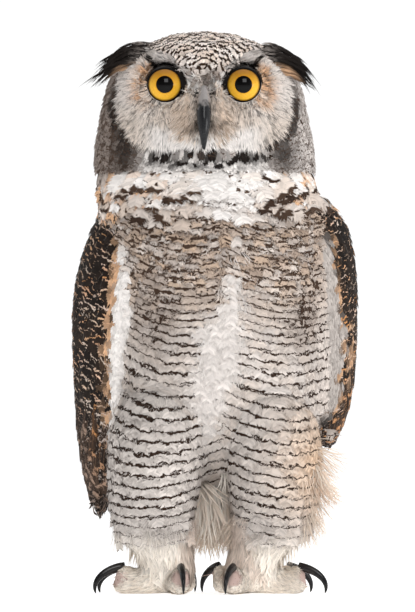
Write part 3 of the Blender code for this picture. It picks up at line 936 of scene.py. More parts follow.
def look_wing(places):
    """Dark coverts with buff and pale marks, and the pale lining along the inner front, which is
    darkened by painted shade on the bird's left.
    """
    z = places[:, 2] / MM
    strip, border, inside = lining_at(places)
    low = 1 - ramp(z, 120, 190)
    light = mixed(TONE["buff"], TONE["orange"], lump(1.2, places, 26 * MM, 7))
    light = mixed(light, TONE["pale"], lump(0.6, places, 17 * MM, 8))
    light = mixed(light, TONE["grey"], 0.8 * low)
    ground = mixed(TONE["black"], TONE["brown"], lump(0.22, places, 20 * MM, 15))
    ground = mixed(ground, TONE["rust"], border)
    ground = mixed(ground, lining_with_painted_shade(places), strip)
    flank = strip * (1 - inside)
    belly = mixed(TONE["belly"], TONE["breast"], 0.25 + 0.7 * ramp(z, 205, 275))
    ground = mixed(ground, belly, flank)
    light = mixed(light, TONE["bar"], strip)
    keep = (1 - strip) * (1 - 0.6 * border)
    patchy = 0.08 + lump(0.75, places, 19 * MM, 52)
    bars = np.maximum(patchy * keep, flank)
    blotch = (0.3 + 0.25 * patchy) * keep + 0.12 * strip
    fleck = (0.35 + 0.5 * low) * keep + 0.1 * strip
    return look(
        ground,
        light,
        bars=bars,
        blotch=blotch,
        fleck=fleck,
        tip=0.1,
        streak=0,
        broad=0.85,
    )


def look_flight(places):
    """Long wing feathers: dark brown with paler, mottled bars."""
    ground = mixed(TONE["black"], TONE["brown"], 0.25 + lump(0.5, places, 30 * MM, 18))
    x, _, z = places.T / MM
    warm = bump(z - 148, 24) * np.where(x < 0, ramp(x, -104, -94), 0.6)
    light = mixed(TONE["smoke"], TONE["orange"], 0.15 + warm)
    return look(
        ground,
        light,
        bars=0.55,
        blotch=0.35,
        fleck=0.6,
        edge=0.9,
        streak=0.2,
        broad=1.6,
    )


LOOKS = {
    "face": look_face,
    "crown": look_crown,
    "neck": look_neck,
    "front": look_front,
    "back": look_back,
    "thigh": look_leg,
    "shank": look_leg,
    "foot": look_foot,
    "wing": look_wing,
    "vent": look_vent,
}


BAR_HEIGHTS = np.arange(0, 480, 2.0)
BAR_PERIODS = np.interp(BAR_HEIGHTS, [60, 100, 165, 205, 240, 280], [7.6, 9.2, 9.6, 7.0, 6.4, 7.2])
BAR_PHASE = np.cumsum(2.0 / BAR_PERIODS)


def rows_at(places):
    """Which bar of the plumage each place is in: the bars sag like slack ropes on each side."""
    x, _, z = places.T / MM
    across = x - BODY_X / MM
    lowest = np.where(across < 0, np.interp(z, [90, 200], [62, 25]), 58)
    off = np.abs(across) - lowest
    sag = np.where(off < 0, 17 * (off / 60) ** 2, 13 * (off / 45) ** 2)
    return np.interp(z - sag, BAR_HEIGHTS, BAR_PHASE)


# ---------------------------------------------------------------- lie and size of the feathers


def beside(x, y, z):
    """Rows of X, Y and Z, from arrays or from values that all the rows share."""
    return np.column_stack(np.broadcast_arrays(x, y, z))


def towards(x, y, z):
    """Directions with these parts along X, Y and Z."""
    return unit(beside(x, y, z))


def lie_face(places):
    """Filaments of the disc fan out from the nearer eye, and down over the mouth."""
    x, _, z = places.T / MM
    x = x - HEAD_X / MM
    side = np.where(x < 0, -1, 1)
    apart = np.abs(x) - EYE_OUT
    away = towards(side * apart, -6, z - 415)
    between = (1 - ramp(np.abs(x), 16, 30))[:, None]
    brow = beside(side * 14, 6, 22)
    whisker = beside(x * 0.9, -7, -16)
    high = ramp(z, 404, 412)[:, None]
    middle = brow * high + whisker * (1 - high)
    return unit(away * (1 - between) + unit(middle) * between)


def lie_crown(places):
    """Feathers sweep back from the forehead over the crown, and down on the sides and nape."""
    x, y, z = places.T / MM
    away = towards(x - HEAD_X / MM, y + 82, z - 428)
    down = beside(0, 0, -60 * (1 - ramp(z, 400, 440)))
    return unit(away * 60 + down)


def lie_body(places):
    x, _, z = places.T / MM
    out = 0.25 * np.tanh((x - 6) / 30) * ramp(z, 120, 260)
    return towards(out, 0.05, -1)


def lie_wing(places):
    return towards(0.1 * np.sign(places[:, 0]), 0.4, -1)


def lie_foot(places):
    x, y, _ = places.T / MM
    palm = np.where(x < BODY_X / MM, PALMS["right"].x, PALMS["left"].x) / MM
    return towards(x - palm, y - PALMS["left"].y / MM, -14)


LIES = {"face": lie_face, "crown": lie_crown, "wing": lie_wing, "foot": lie_foot}


def laid_on(aims, outs):
    """Directions laid flat on the skin whose outward directions are given."""
    return unit(aims - outs * np.sum(aims * outs, axis=1)[:, None])


# ---------------------------------------------------------------- feathers


def soften(mesh, outs, share):
    """Turns the normals of thin locks towards the body's own, as light passes through them."""
    normals = np.array([v.normal for v in mesh.vertices])
    facing = np.where(np.sum(normals * outs, axis=1) < 0, -1, 1)[:, None]
    normals = unit(outs * share + normals * facing * (1 - share))
    mesh.normals_split_custom_set_from_vertices(normals.tolist())


def set_feathers(name, slot, tract, spacing, shapes, length, width, keep=None, **more):
    """One piece of plumage: roots over a tract, and on each a feather with its size and marks."""
    roots = run_tree(
        name + "_roots",
        skin,
        trees["roots"],
        {"Tract": TRACT[tract], "Spacing": spacing * MM, "Seed": len(name)},
    )
    places, outs = points_of(roots.data), unit(read(roots.data, "out", 3))
    spots = read(roots.data, "OFBake", 2)
    bpy.data.objects.remove(roots)
    if keep is not None:
        chosen = keep(places)
        places, outs, spots = places[chosen], outs[chosen], spots[chosen]
    return lay_feathers(name, slot, tract, places, outs, spots, shapes, length, width, **more)


def keep_off_floor(mesh):
    """Flattens what would reach below the floor onto it."""
    flat = points_of(mesh)
    flat[:, 2] = np.maximum(flat[:, 2], 0.2 * MM)
    mesh.vertices.foreach_set("co", flat.astype(np.float32).ravel())


def lay_feathers(
    name, slot, tract, places, outs, spots, shapes, length, width, lie=None, lift=1.0, hold=1.0,
    stand=0.0, jitter=0.12, shift=8.0, paint=None, own_bars=0.0, soft=0.6, hang=False,
    dusky=0.0, vary=0.10,
):
    """Feathers on these roots. length and width are in millimetres, a value or a function of
    place, stand tips them outwards, and hold is 1 where they follow the body. own_bars is the
    number of bars across each feather, where they don't run on from one to the next. Feathers
    that hang keep their direction, and the others lie along the skin. dusky is the share of
    them that are dark, and vary how much their shades differ."""
    count = len(places)
    random = np.random.default_rng(len(name) * 7 + count)
    long = (length(places) if callable(length) else np.full(count, float(length))) * MM
    wide = (width(places) if callable(width) else np.full(count, float(width))) * MM
    grown = 1 + random.uniform(-0.14, 0.14, count)
    long, wide = long * grown, wide * grown
    aims = (lie or LIES.get(tract, lie_body))(places)
    if hang:
        aims = unit(aims + random.normal(0, jitter, (count, 3)))
        outs = laid_on(outs * (1, 1, 0) + (0, -0.6, 0), aims)
    else:
        aims = laid_on(laid_on(aims, outs) + random.normal(0, jitter, (count, 3)), outs)
    outs_now = unit(outs - aims * stand)
    aims_now = unit(aims + outs * stand)
    seen = places + aims * long[:, None] * 0.6
    marks = (paint or LOOKS[tract])(seen)
    pick = random.random(count)
    mesh = mesh_of(name + "_roots", places, [])
    host = link(name + "_roots", mesh)
    write(mesh, "kind", "INT", random.integers(0, len(shapes.objects), count))
    write(mesh, "aim", "FLOAT_VECTOR", aims_now)
    write(mesh, "out", "FLOAT_VECTOR", outs_now)
    write(mesh, "size", "FLOAT_VECTOR", np.column_stack([wide, long, long]))
    write(mesh, "home", "FLOAT_VECTOR", places)
    write(mesh, "spot", "FLOAT_VECTOR", np.column_stack([spots, np.zeros(count)]))
    write(mesh, "lift", "FLOAT", lift * random.uniform(0.85, 1.12, count))
    write(mesh, "hold", "FLOAT", np.full(count, hold))
    write(mesh, "pick", "FLOAT", pick)
    share = dusky(seen) if callable(dusky) else np.full(count, dusky)
    dimmed = np.where(random.random(count) < share, 0.42, 1.0)[:, None]
    for key in ("ground", "dark"):
        marks[key] = marks[key] * (1 + random.uniform(-vary, vary, (count, 1))) * dimmed
    write_marks(mesh, marks)
    piece = run_tree(
        name,
        host,
        trees["plumage"],
        {
            "Skin": skin,
            "Shapes": shapes,
            "Feather": feather,
            "Patch": PATCH,
            "Most Shift": shift * MM,
        },
    )
    bpy.data.objects.remove(host)
    made = piece.data
    keep_off_floor(made)
    if own_bars:
        rows = own_bars * (read(made, "feather", 3)[:, 1] - 0.8) + 0.5
        rows += 0.75 * (read(made, "pick") - 0.5)
    else:
        at = points_of(made)
        loose = 0.3 + 0.6 * ramp(at[:, 2], 215 * MM, 290 * MM)
        rows = rows_at(at) + loose * (read(made, "pick") - 0.5)
    write(made, "row", "FLOAT", rows)
    soften(made, unit(read(made, "out", 3)), soft)
    for spare in ("aim", "size", "home", "spot", "patch", "hold", "lift", "kind", "coat", "out"):
        if spare in made.attributes:
            made.attributes.remove(made.attributes[spare])
    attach(piece, "root")
    return piece


# ---------------------------------------------------------------- feather material


def new_material(name):
    """A material with nodes, its tree and its shader."""
    material = bpy.data.materials.new(name)
    material.use_nodes = True
    tree = material.node_tree
    return material, tree, tree.nodes["Principled BSDF"]


def solid(code):
    """A hex colour as a socket takes it."""
    return (*srgb(code), 1)


def spread(tree, value, weight, reach, low, high):
    """A pattern that covers more of the surface the nearer its weight is to one."""
    less = add(tree, MATH, weight, reach, -reach, operation="MULTIPLY_ADD")
    return add(tree, RANGE, add(tree, MATH, value, less, operation="ADD"), low, high, **SMOOTH)


def feather_material(name, roughness):
    """Contour feather: keratin barbs side by side, dry and matt, with melanin laid down in bars.
    It gives the eye soft strands, ragged bars, and roots darkened by painted shade."""
    material, tree, shader = new_material(name)
    where = add(tree, "ShaderNodeTexCoord").outputs["Object"]
    names = ("feather", "marks", "ends", "pick", "row", "broad", "ground", "dark")
    given = {name: add(tree, ATTRIBUTE, attribute_name=name).outputs for name in names}
    across, along, strand = add(tree, PARTS, given["feather"]["Vector"]).outputs
    bar_share, blotch_share, fleck_share = add(tree, PARTS, given["marks"]["Vector"]).outputs
    tip_share, edge_share, shaft_share = add(tree, PARTS, given["ends"]["Vector"]).outputs
    offside = add(tree, MATH, across, operation="ABSOLUTE")
    pick = given["pick"]["Fac"]
    apart = add(tree, VECTOR, (0.31, 0.17, 0.23), pick, operation="SCALE")
    own = add(tree, VECTOR, where, apart, operation="ADD")
    # real bars are 2 mm of dark to 6 or 8 mm of pale, frayed by a barb's width
    waves = add(tree, NOISE, where, 130.0, 3.0)
    wander = add(tree, MATH, waves, 0.85, -0.42, operation="MULTIPLY_ADD")
    row = add(tree, MATH, given["row"]["Fac"], wander, operation="ADD")
    row = add(tree, MATH, strand, 0.13, row, operation="MULTIPLY_ADD")
    row = add(tree, MATH, row, operation="FRACT")
    row = add(tree, MATH, row, 0.5, operation="SUBTRACT")
    near = add(tree, MATH, row, operation="ABSOLUTE")
    soft = add(tree, NOISE, own, 90.0)
    thick = add(tree, MATH, soft, 0.20, 0.03, operation="MULTIPLY_ADD")
    thick = add(tree, MATH, thick, given["broad"]["Fac"], operation="MULTIPLY")
    thick = add(tree, MATH, thick, bar_share, operation="MULTIPLY")
    inside = add(tree, MATH, thick, near, operation="SUBTRACT")
    inside = add(tree, RANGE, inside, -0.03, 0.03, **SMOOTH)
    barred = add(tree, RANGE, bar_share, 0.05, 0.3, **SMOOTH)
    bars = add(tree, MATH, inside, barred, operation="MULTIPLY")
    cloud = add(tree, NOISE, own, 150.0, 3.0)
    blotch = spread(tree, cloud, blotch_share, 0.30, 0.50, 0.56)
    grit = add(tree, NOISE, own, 560.0, 2.0, 0.6)
    fleck = spread(tree, grit, fleck_share, 0.30, 0.52, 0.60)
    # some feathers have a dark tip, and some a dark line along the shaft
    torn = add(tree, NOISE, own, 120.0)
    ragged = add(tree, MATH, torn, 0.5, along, operation="MULTIPLY_ADD")
    tips = spread(tree, ragged, tip_share, 0.5, 0.92, 0.99)
    chosen = add(tree, RANGE, pick, 0.30, 0.34, **SMOOTH)
    tips = add(tree, MATH, tips, chosen, operation="MULTIPLY")
    shaft = add(tree, RANGE, offside, 0.03, 0.12, 1.0, 0.0, **SMOOTH)
    shaft = add(tree, MATH, shaft, shaft_share, operation="MULTIPLY")
    dark = bars
    for pattern in (blotch, tips, fleck, shaft):
        dark = add(tree, MATH, dark, pattern, operation="MAXIMUM")
    colour = add(tree, MIX, dark, given["ground"]["Color"], given["dark"]["Color"], **RGBA)
    pale_edge = add(tree, RANGE, offside, 0.7, 0.95, 0.0, 0.5, **SMOOTH)
    pale_edge = add(tree, MATH, pale_edge, edge_share, operation="MULTIPLY")
    colour = add(tree, MIX, pale_edge, colour, solid("#CEC4BB"), **RGBA)
    light = add(tree, MATH, strand, 0.30, 0.80, operation="MULTIPLY_ADD")
    # painted shade: each feather is darker towards its root, where the feathers over it shade it
    root = add(tree, RANGE, along, 0.0, 0.55, 0.6, 1.0, **SMOOTH)
    shade = add(tree, MATH, light, root, operation="MULTIPLY")
    toned = add(tree, VECTOR, colour, shade, operation="SCALE")
    tree.links.new(main_output(toned), shader.inputs["Base Color"])
    shader.inputs["Roughness"].default_value = roughness
    shader.inputs["Specular IOR Level"].default_value = 0.15
    return material


# ---------------------------------------------------------------- eyes


def eyeball(side):
    """An eye with its bulging cornea, turned on a lathe, as round and deep as a real one."""
    centre = EYE_AT[side]
    bulge, forward = 0.885 * EYE_RADIUS, 0.19 * EYE_RADIUS
    rings, steps = 56, 72
    profile, points = [], []
    for i in range(rings + 1):
        turn = math.pi * (i / rings) ** 1.25
        ahead = math.cos(turn)
        reach = forward * ahead + math.sqrt(max(bulge**2 - (forward * math.sin(turn)) ** 2, 0))
        blend = max(EYE_RADIUS, reach) + 0.12 * MM * math.exp(-((EYE_RADIUS - reach) / (0.2 * MM)) ** 2)
        profile.append((blend * math.sin(turn), -blend * ahead))
    for radius, depth in profile:
        for k in range(steps):
            turn = 2 * math.pi * k / steps
            place = (radius * math.cos(turn), depth, radius * math.sin(turn))
            points.append(centre + Vector(place))
    mesh = mesh_of("eyeball_" + side, points, ring_faces(rings, steps))
    tidy_solid(mesh, merge=1e-6)
    gaze = (points_of(mesh) - np.array(centre)) / EYE_RADIUS
    write(mesh, "gaze", "FLOAT_VECTOR", gaze)
    piece = link("eyeball_" + side, mesh)
    piece.data.materials.append(eye_glass)
    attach(piece, "root")
    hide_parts("eye_" + side)
    return piece


def eye_material(name):
    """Wet eye: a clear cornea over a golden iris with fine radial fibres, and an open pupil. It
    gives the eye a mirror-like highlight over a deep black middle."""
    material, tree, shader = new_material(name)
    gaze = add(tree, ATTRIBUTE, attribute_name="gaze").outputs["Vector"]
    across, back, up = add(tree, PARTS, gaze).outputs
    disc = add(tree, "ShaderNodeCombineXYZ", across, 0.0, up)
    radius = add(tree, VECTOR, disc, operation="LENGTH")
    spoke = add(tree, VECTOR, disc, operation="NORMALIZE")
    spoke = add(tree, VECTOR, spoke, 9.0, operation="SCALE")
    ring = add(tree, VECTOR, disc, 3.0, operation="SCALE")
    fibre_at = add(tree, VECTOR, spoke, ring, operation="ADD")
    fibres = add(tree, NOISE, fibre_at, 2.6, 4.0, 0.65)
    outer, inner = IRIS / EYE_RADIUS, PUPIL / EYE_RADIUS
    black = solid("#060505")
    # the iris is darkened above by painted shade from the lid and brow, streaked with amber, and darker
    # at its outer and inner rims
    shaded = add(tree, RANGE, up, -0.25, 0.75, **SMOOTH)
    colour = add(tree, MIX, shaded, solid("#E6B037"), solid("#94651F"), **RGBA)
    amber = add(tree, RANGE, fibres, 0.42, 0.75, 0.0, 0.55, **SMOOTH)
    colour = add(tree, MIX, amber, colour, solid("#A8690F"), **RGBA)
    limbus = add(tree, RANGE, radius, outer * 0.88, outer * 0.995, 0.0, 0.8, **SMOOTH)
    colour = add(tree, MIX, limbus, colour, solid("#4A2C08"), **RGBA)
    near = add(tree, RANGE, radius, inner, inner * 1.25, 0.35, 0.0, **SMOOTH)
    colour = add(tree, MIX, near, colour, solid("#B9740F"), **RGBA)
    # black within the pupil, black round the iris as painted shade where the lids close over the ball,
    # and a dull brown on the hidden back of the ball
    open_iris = add(tree, RANGE, radius, inner * 0.975, inner * 1.02, **SMOOTH)
    colour = add(tree, MIX, open_iris, black, colour, **RGBA)
    rim = add(tree, RANGE, radius, outer * 0.99, outer * 1.02, **SMOOTH)
    colour = add(tree, MIX, rim, colour, black, **RGBA)
    behind = add(tree, RANGE, back, -0.2, 0.1, **SMOOTH)
    colour = add(tree, MIX, behind, colour, solid("#241A16"), **RGBA)
    tree.links.new(main_output(colour), shader.inputs["Base Color"])
    shader.inputs["Roughness"].default_value = 0.5
    shader.inputs["Specular IOR Level"].default_value = 0.0
    shader.inputs["Coat Weight"].default_value = 1.0
    shader.inputs["Coat Roughness"].default_value = 0.015
    shader.inputs["Coat IOR"].default_value = 1.22
    return material


def lid_skin_material(name):
    """Rim of the eyelids: bare black skin, hardly moist. It gives the eye a matt black ring with
    fine creases."""
    material, tree, shader = new_material(name)
    where = add(tree, "ShaderNodeTexCoord").outputs["Object"]
    creases = add(tree, NOISE, where, 900.0, 3.0, 0.6)
    colour = add(tree, MIX, creases, solid("#040303"), solid("#0D0A09"), **RGBA)
    folds = add(tree, "ShaderNodeBump", 0.3, 0.0003, by_name={"Height": creases})
    tree.links.new(main_output(colour), shader.inputs["Base Color"])
    tree.links.new(main_output(folds), shader.inputs["Normal"])
    shader.inputs["Roughness"].default_value = 0.7
    shader.inputs["Specular IOR Level"].default_value = 0.06
    return material


def lid_mesh(side, skin_at):
    """The lids, tight to the eye and level with the skin at their outer edge."""
    centre = np.array(EYE_AT[side])
    steps, front = 72, 14
    outer = 18.8 * MM
    points, faces = [], []
    for k in range(steps):
        turn = 2 * math.pi * k / steps
        way = np.array((math.cos(turn), 0, math.sin(turn)))
        up = max(way[2], 0)
        inner = 0.80 * EYE_RADIUS - 0.9 * MM * up**2
        hit = skin_at.ray_cast(Vector(centre + way * outer - (0, 0.1, 0)), Vector((0, 1, 0)))[0]
        level = centre[1] - (hit.y if hit else centre[1] - 4 * MM) + 1.2 * MM
        profile = []
        for j in range(front):
            share = j / (front - 1)
            radius = inner + (outer - inner) * share
            ball = math.sqrt(max(EYE_RADIUS**2 - radius**2, 0)) + 0.3 * MM
            near = 1 - ramp(share, 0.15, 0.95)
            swell = 0.7 * MM * math.sin(math.pi * share)
            profile.append((radius, ball * near + level * (1 - near) + swell))
        last = profile[-1]
        profile += [(last[0] + 0.2 * MM, last[1] - 3 * MM), (last[0] - 1 * MM, last[1] - 6 * MM)]
        profile.append((inner + 0.4 * MM, profile[0][1] - 2.5 * MM))
        for radius, depth in profile:
            place = (radius * way[0], -depth, radius * way[2])
            points.append(centre + place)
    count = len(profile)
    for k in range(steps):
        for j in range(count):
            a, b = k * count, (k + 1) % steps * count
            faces.append((a + j, a + (j + 1) % count, b + (j + 1) % count, b + j))
    mesh = mesh_of("lid_" + side, points, faces)
    tidy_solid(mesh, triangles=True)
    return mesh


def bare_rim(places):
    """The bare black rim of the lids: broad above and inside, thin below and outside."""
    _, apart, high = from_eye(places)
    return np.hypot(apart, high) < rim_reach(apart, high)


def add_lids(skin, tract):
    """Joins the lids to the skin, feathered up to their bare rim."""
    count = len(skin.data.vertices)
    values = {name: read(skin.data, name, width) for name, width in (("coat", 1), ("out", 3))}
    faces = read(skin.data, "tract")
    skin_at = bvh_of(skin.data)
    bm = bmesh.new()
    bm.from_mesh(skin.data)
    for side in EYES:
        bm.from_mesh(lid_mesh(side, skin_at))
    for face in bm.faces:
        face.smooth = True
    bm.to_mesh(skin.data)
    bm.free()
    more = len(skin.data.vertices) - count
    lids = skin.data.polygons[len(faces) :]
    ahead = np.array([face.normal.y < -0.2 for face in lids])
    bare = bare_rim(np.array([face.center for face in lids])) | ~ahead
    outs = np.vstack([values["out"], np.tile([0, -1, 0], (more, 1))])
    write(skin.data, "coat", "FLOAT", np.append(values["coat"], np.full(more, 2 * MM)))
    write(skin.data, "out", "FLOAT_VECTOR", outs)
    on_lids = np.where(bare, -1, TRACT["face"])
    write(skin.data, "tract", "INT", np.append(faces, on_lids), "FACE")
    return np.append(tract, np.where(bare_rim(points_of(skin.data)[count:]), -1, TRACT["face"]))


def paint_skin(skin, tract):
    """The same markings on the skin as on the feathers over it."""
    places = points_of(skin.data)
    count = len(places)
    marks = look(np.tile(TONE["black"], (count, 1)), TONE["black"])
    rows = np.zeros(count)
    for name, paint in LOOKS.items():
        here = tract == TRACT[name]
        found = paint(places[here])
        for key in marks:
            values = np.array(marks[key], float)
            values[here] = found[key]
            marks[key] = values
        rows[here] = rows_at(places[here])
    write_marks(skin.data, marks)
    write(skin.data, "row", "FLOAT", rows)
    write(skin.data, "pick", "FLOAT", np.full(count, 0.5))
    write(skin.data, "feather", "FLOAT_VECTOR", np.tile([0.5, 0.45, 0.4], (count, 1)))


# ---------------------------------------------------------------- bill and claws


def turned_on_line(name, line, halves, steps=24, level=(1, 0, 0), square=2.0):
    """A closed solid round a line of points, with a half width and two half heights at each."""
    points, level = [], Vector(level)
    for i, (centre, (wide, above, under)) in enumerate(zip(line, halves)):
        ahead = (line[min(i + 1, len(line) - 1)] - line[max(i - 1, 0)]).normalized()
        up = level.cross(ahead).normalized()
        for k in range(steps):
            turn = 2 * math.pi * k / steps
            across, high = math.cos(turn), math.sin(turn)
            across = math.copysign(abs(across) ** (2 / square), across)
            high = math.copysign(abs(high) ** (2 / square), high)
            points.append(centre + level * wide * across + up * (above if high > 0 else under) * high)
    last = (len(line) - 1) * steps
    faces = ring_faces(len(line) - 1, steps)
    faces += [tuple(range(steps)), tuple(range(last, last + steps))[::-1]]
    mesh = mesh_of(name, points, faces)
    tidy_solid(mesh)
    write(mesh, "along", "FLOAT", np.repeat(np.linspace(0, 1, len(line)), steps))
    return link(name, mesh)


def horn_material(name, tip, root, rough):
    """Horn of bill and claws: dark keratin, grown in long fine layers and worn smooth. It gives
    the eye a soft shine along the curve, and fine lines that follow it."""
    material, tree, shader = new_material(name)
    where = add(tree, "ShaderNodeTexCoord").outputs["Object"]
    along = add(tree, ATTRIBUTE, attribute_name="along").outputs["Fac"]
    cloud = add(tree, NOISE, where, 260.0, 3.0)
    share = add(tree, MATH, cloud, 0.3, -0.15, operation="MULTIPLY_ADD")
    share = add(tree, MATH, along, share, operation="ADD")
    share = add(tree, RANGE, share, 0.28, 0.42, **SMOOTH)
    colour = add(tree, MIX, share, solid(root), solid(tip), **RGBA)
    drawn_out = add(tree, VECTOR, where, (1.0, 0.25, 0.25), operation="MULTIPLY")
    grain = add(tree, NOISE, drawn_out, 1500.0, 2.0)
    lines = add(tree, MATH, grain, 0.04, operation="MULTIPLY")
    colour = add(tree, MIX, lines, colour, solid("#6E6A68"), **RGBA)
    worn = add(tree, MATH, cloud, 0.22, rough - 0.11, operation="MULTIPLY_ADD")
    layers = add(tree, "ShaderNodeBump", 0.12, 0.0002, by_name={"Height": grain})
    tree.links.new(main_output(colour), shader.inputs["Base Color"])
    tree.links.new(main_output(worn), shader.inputs["Roughness"])
    tree.links.new(main_output(layers), shader.inputs["Normal"])
    shader.inputs["Specular IOR Level"].default_value = 0.24
    return material


def section(node, height):
    """The x and y limits of a solid of the frame at one height."""
    bm = bmesh.new()
    bm.from_mesh(frame["nodes"][node].data)
    cut = bmesh.ops.bisect_plane(
        bm,
        geom=bm.verts[:] + bm.edges[:] + bm.faces[:],
        plane_co=(0, 0, height),
        plane_no=(0, 0, 1),
    )
    found = np.array([v.co for v in cut["geom_cut"] if isinstance(v, bmesh.types.BMVert)])
    bm.free()
    return found.min(axis=0), found.max(axis=0)


def bill_section(node, height):
    """The middle of a half of the bill at one height, and its half width and half depth."""
    near, far = section(node, height)
    middle = Vector(((near[0] + far[0]) / 2, (near[1] + far[1]) / 2, height))
    return middle, ((far[0] - near[0]) / 2, max((far[1] - near[1]) / 2, 0.2 * MM))


# Width of the upper bill from its tip to the feathers of the forehead, in millimetres.
BILL_HEIGHTS = [362.7, 366, 370, 377, 383.6, 393, 399, 406, 412, 419]
BILL_WIDTHS = [1.6, 3.4, 5.2, 8.2, 10.8, 12.6, 11.8, 8.8, 6.4, 2.6]


def make_bill():
    """Upper bill: grey cere at the top, then black horn hooked down to its tip. The lower bill
    is tucked in behind it."""
    low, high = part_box("bill_upper")
    heights = high.z - (high.z - low.z) * np.linspace(0.10, 0.985, 26)
    line, halves = [], []
    for height in heights:
        middle, half = bill_section("bill_upper", height)
        line.append(middle - Vector((0, 0, 1.4 * MM * (high.z - height) / (high.z - low.z))))
        half = half[1]
        across = np.interp(height / MM, BILL_HEIGHTS, BILL_WIDTHS) / 2 * MM
        half *= 1 - 0.8 * ramp(height, 400 * MM, 414 * MM)
        halves.append((across, half, half))
    upper = turned_on_line("upper_bill", line, halves, steps=28, square=1.8)
    drop = (high.z - points_of(upper.data)[:, 2]) / (high.z - low.z)
    write(upper.data, "along", "FLOAT", drop)
    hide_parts("bill_upper")
    low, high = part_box("bill_lower")
    heights = high.z - (high.z - low.z) * np.linspace(0.04, 0.96, 12)
    line, halves = [], []
    for height in heights:
        middle, half = bill_section("bill_lower", height)
        line.append(middle)
        halves.append((half[0], half[1], half[1]))
    lower = turned_on_line("lower_bill", line, halves, steps=20)
    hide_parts("bill_lower")
    for piece in (upper, lower):
        piece.data.materials.append(bill_horn)
        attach(piece, "root")


def make_claw(toe, side):
    """A claw of black horn: an arc from the top of the toe down to a point on the floor."""
    node = f"claw_{toe}_{side}"
    root, tip = claw_ends(toe, side)
    ahead = Vector((*(tip - root)[:2], 0))
    reach, fall = ahead.length, root[2] - tip[2]
    ahead.normalize()
    start, turn = math.radians(12), math.radians(92)
    shares = np.linspace(0, 1, 26)
    turns = start + turn * shares
    out = (np.sin(turns) - math.sin(start)) / (math.sin(start + turn) - math.sin(start))
    down = (math.cos(start) - np.cos(turns)) / (math.cos(start) - math.cos(start + turn))
    line = [
        Vector(root) + ahead * (reach * across) - Vector((0, 0, fall * drop))
        for across, drop in zip(out, down)
    ]
    thick = 4.2 * MM * (1 - shares) ** 0.62 + 0.3 * MM
    halves = [(radius * 0.72, radius * 0.95, radius * 0.8) for radius in thick]
    level = ahead.cross(Vector((0, 0, 1)))
    claw = turned_on_line(node.replace("claw", "talon"), line, halves, steps=18, level=level)
    keep_off_floor(claw.data)
    claw.data.materials.append(claw_horn)
    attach(claw, "root")
    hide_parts(node)


# ---------------------------------------------------------------- long feathers


def lay_long(name, quills, paint, shapes):
    """Long feathers, each a vane bent along its own line of points over the body."""
    points, faces, feathers, patches, marks = [], [], [], [], []
    picks, spots, rows = [], [], []
    for i, (line, outs, wide) in enumerate(quills):
        shape = shapes.objects[i % len(shapes.objects)].data
        flat = points_of(shape)
        share = np.clip(flat[:, 1], 0, 1) * (len(line) - 1)
        low = np.minimum(share.astype(int), len(line) - 2)
        part = (share - low)[:, None]
        spine = line[low] * (1 - part) + line[low + 1] * part
        out = unit(outs[low] * (1 - part) + outs[low + 1] * part)
        ahead = unit(np.gradient(line, axis=0))
        ahead = unit(ahead[low] * (1 - part) + ahead[low + 1] * part)
        side = unit(np.cross(ahead, out))
        first = sum(len(p) for p in points)
        length = np.linalg.norm(np.diff(line, axis=0), axis=1).sum()
        points.append(spine + side * flat[:, :1] * wide + out * flat[:, 2:] * min(length, 3 * wide))
        faces += [tuple(first + v for v in p.vertices) for p in shape.polygons]
        feathers.append(read(shape, "feather", 3))
        patches.append(read(shape, "patch", 3))
        marks.append(paint(spine))
        picks.append(np.full(len(flat), rng.random()))
        spots.append(np.tile(spot_of(line[0]), (len(flat), 1)))
        rows.append(share / (len(line) - 1) * length / (11 * MM) + 0.3 * rng.random())
    mesh = mesh_of(name, np.vstack(points), faces)
    write_marks(mesh, {key: np.concatenate([m[key] for m in marks]) for key in marks[0]})
    write(mesh, "feather", "FLOAT_VECTOR", np.vstack(feathers))
    write(mesh, "pick", "FLOAT", np.concatenate(picks))
    write(mesh, "row", "FLOAT", np.concatenate(rows))
    corners = np.empty(len(mesh.loops), np.int32)
    mesh.loops.foreach_get("vertex_index", corners)
    spot = np.vstack(spots)[corners] + PATCH * (np.vstack(patches)[corners][:, :2] - 0.5)
    layer = mesh.uv_layers.new(name="OFBake")
    layer.data.foreach_set("uv", spot.ravel())
    mesh.materials.append(feather)
    piece = link(name, mesh)
    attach(piece, "root")
    return piece


EAR_TUFTS = {
    # first and last quill of each tuft: root, bend and tip, out from the head's middle and up
    # from the eyes, in millimetres
    "left": (((45, 31), (68, 35), (96, -4)), ((58, 10), (71, 11), (86, -1))),
    "right": (((40, 30), (64, 39), (91, 10)), ((50, 15), (70, 18), (95, -10))),
}


def bent(root, bend, tip, steps=14):
    """Points on a smooth bow from root to tip that leans towards bend."""
    share = np.linspace(0, 1, steps)[:, None]
    return root * (1 - share) ** 2 + bend * 2 * share * (1 - share) + tip * share**2


def ear_quills(side, count=44):
    """Lines of the long dark feathers of an ear tuft, laid back over the side of the crown."""
    hand = HAND[side]
    low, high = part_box("ear_tuft_" + side)
    random = np.random.default_rng(5 + hand)
    quills = []
    for i in range(count):
        share = i / (count - 1)
        places = []
        for first, last in zip(*EAR_TUFTS[side]):
            out, up = np.array(first) * (1 - share) + np.array(last) * share
            out, up = out + random.normal(0, 1.6), up + random.normal(0, 1.6)
            depth = (low.y + high.y) / 2 + (random.uniform(-5, 5) - 3 * share) * MM
            places.append(np.array([HEAD_X + hand * out * MM, depth, EYE_Z + up * MM]))
        places[2] = places[1] + (places[2] - places[1]) * random.uniform(0.45, 1.06)
        places[2] = places[2] + random.normal(0, 1.8 * MM, 3) * (1, 0.3, 1)
        line = bent(*places)
        outs = np.tile(unit(np.array([0.25 * hand, -1, 0.35])), (len(line), 1))
        quills.append((line, outs, random.uniform(2.6, 4.6) * MM))
    return quills


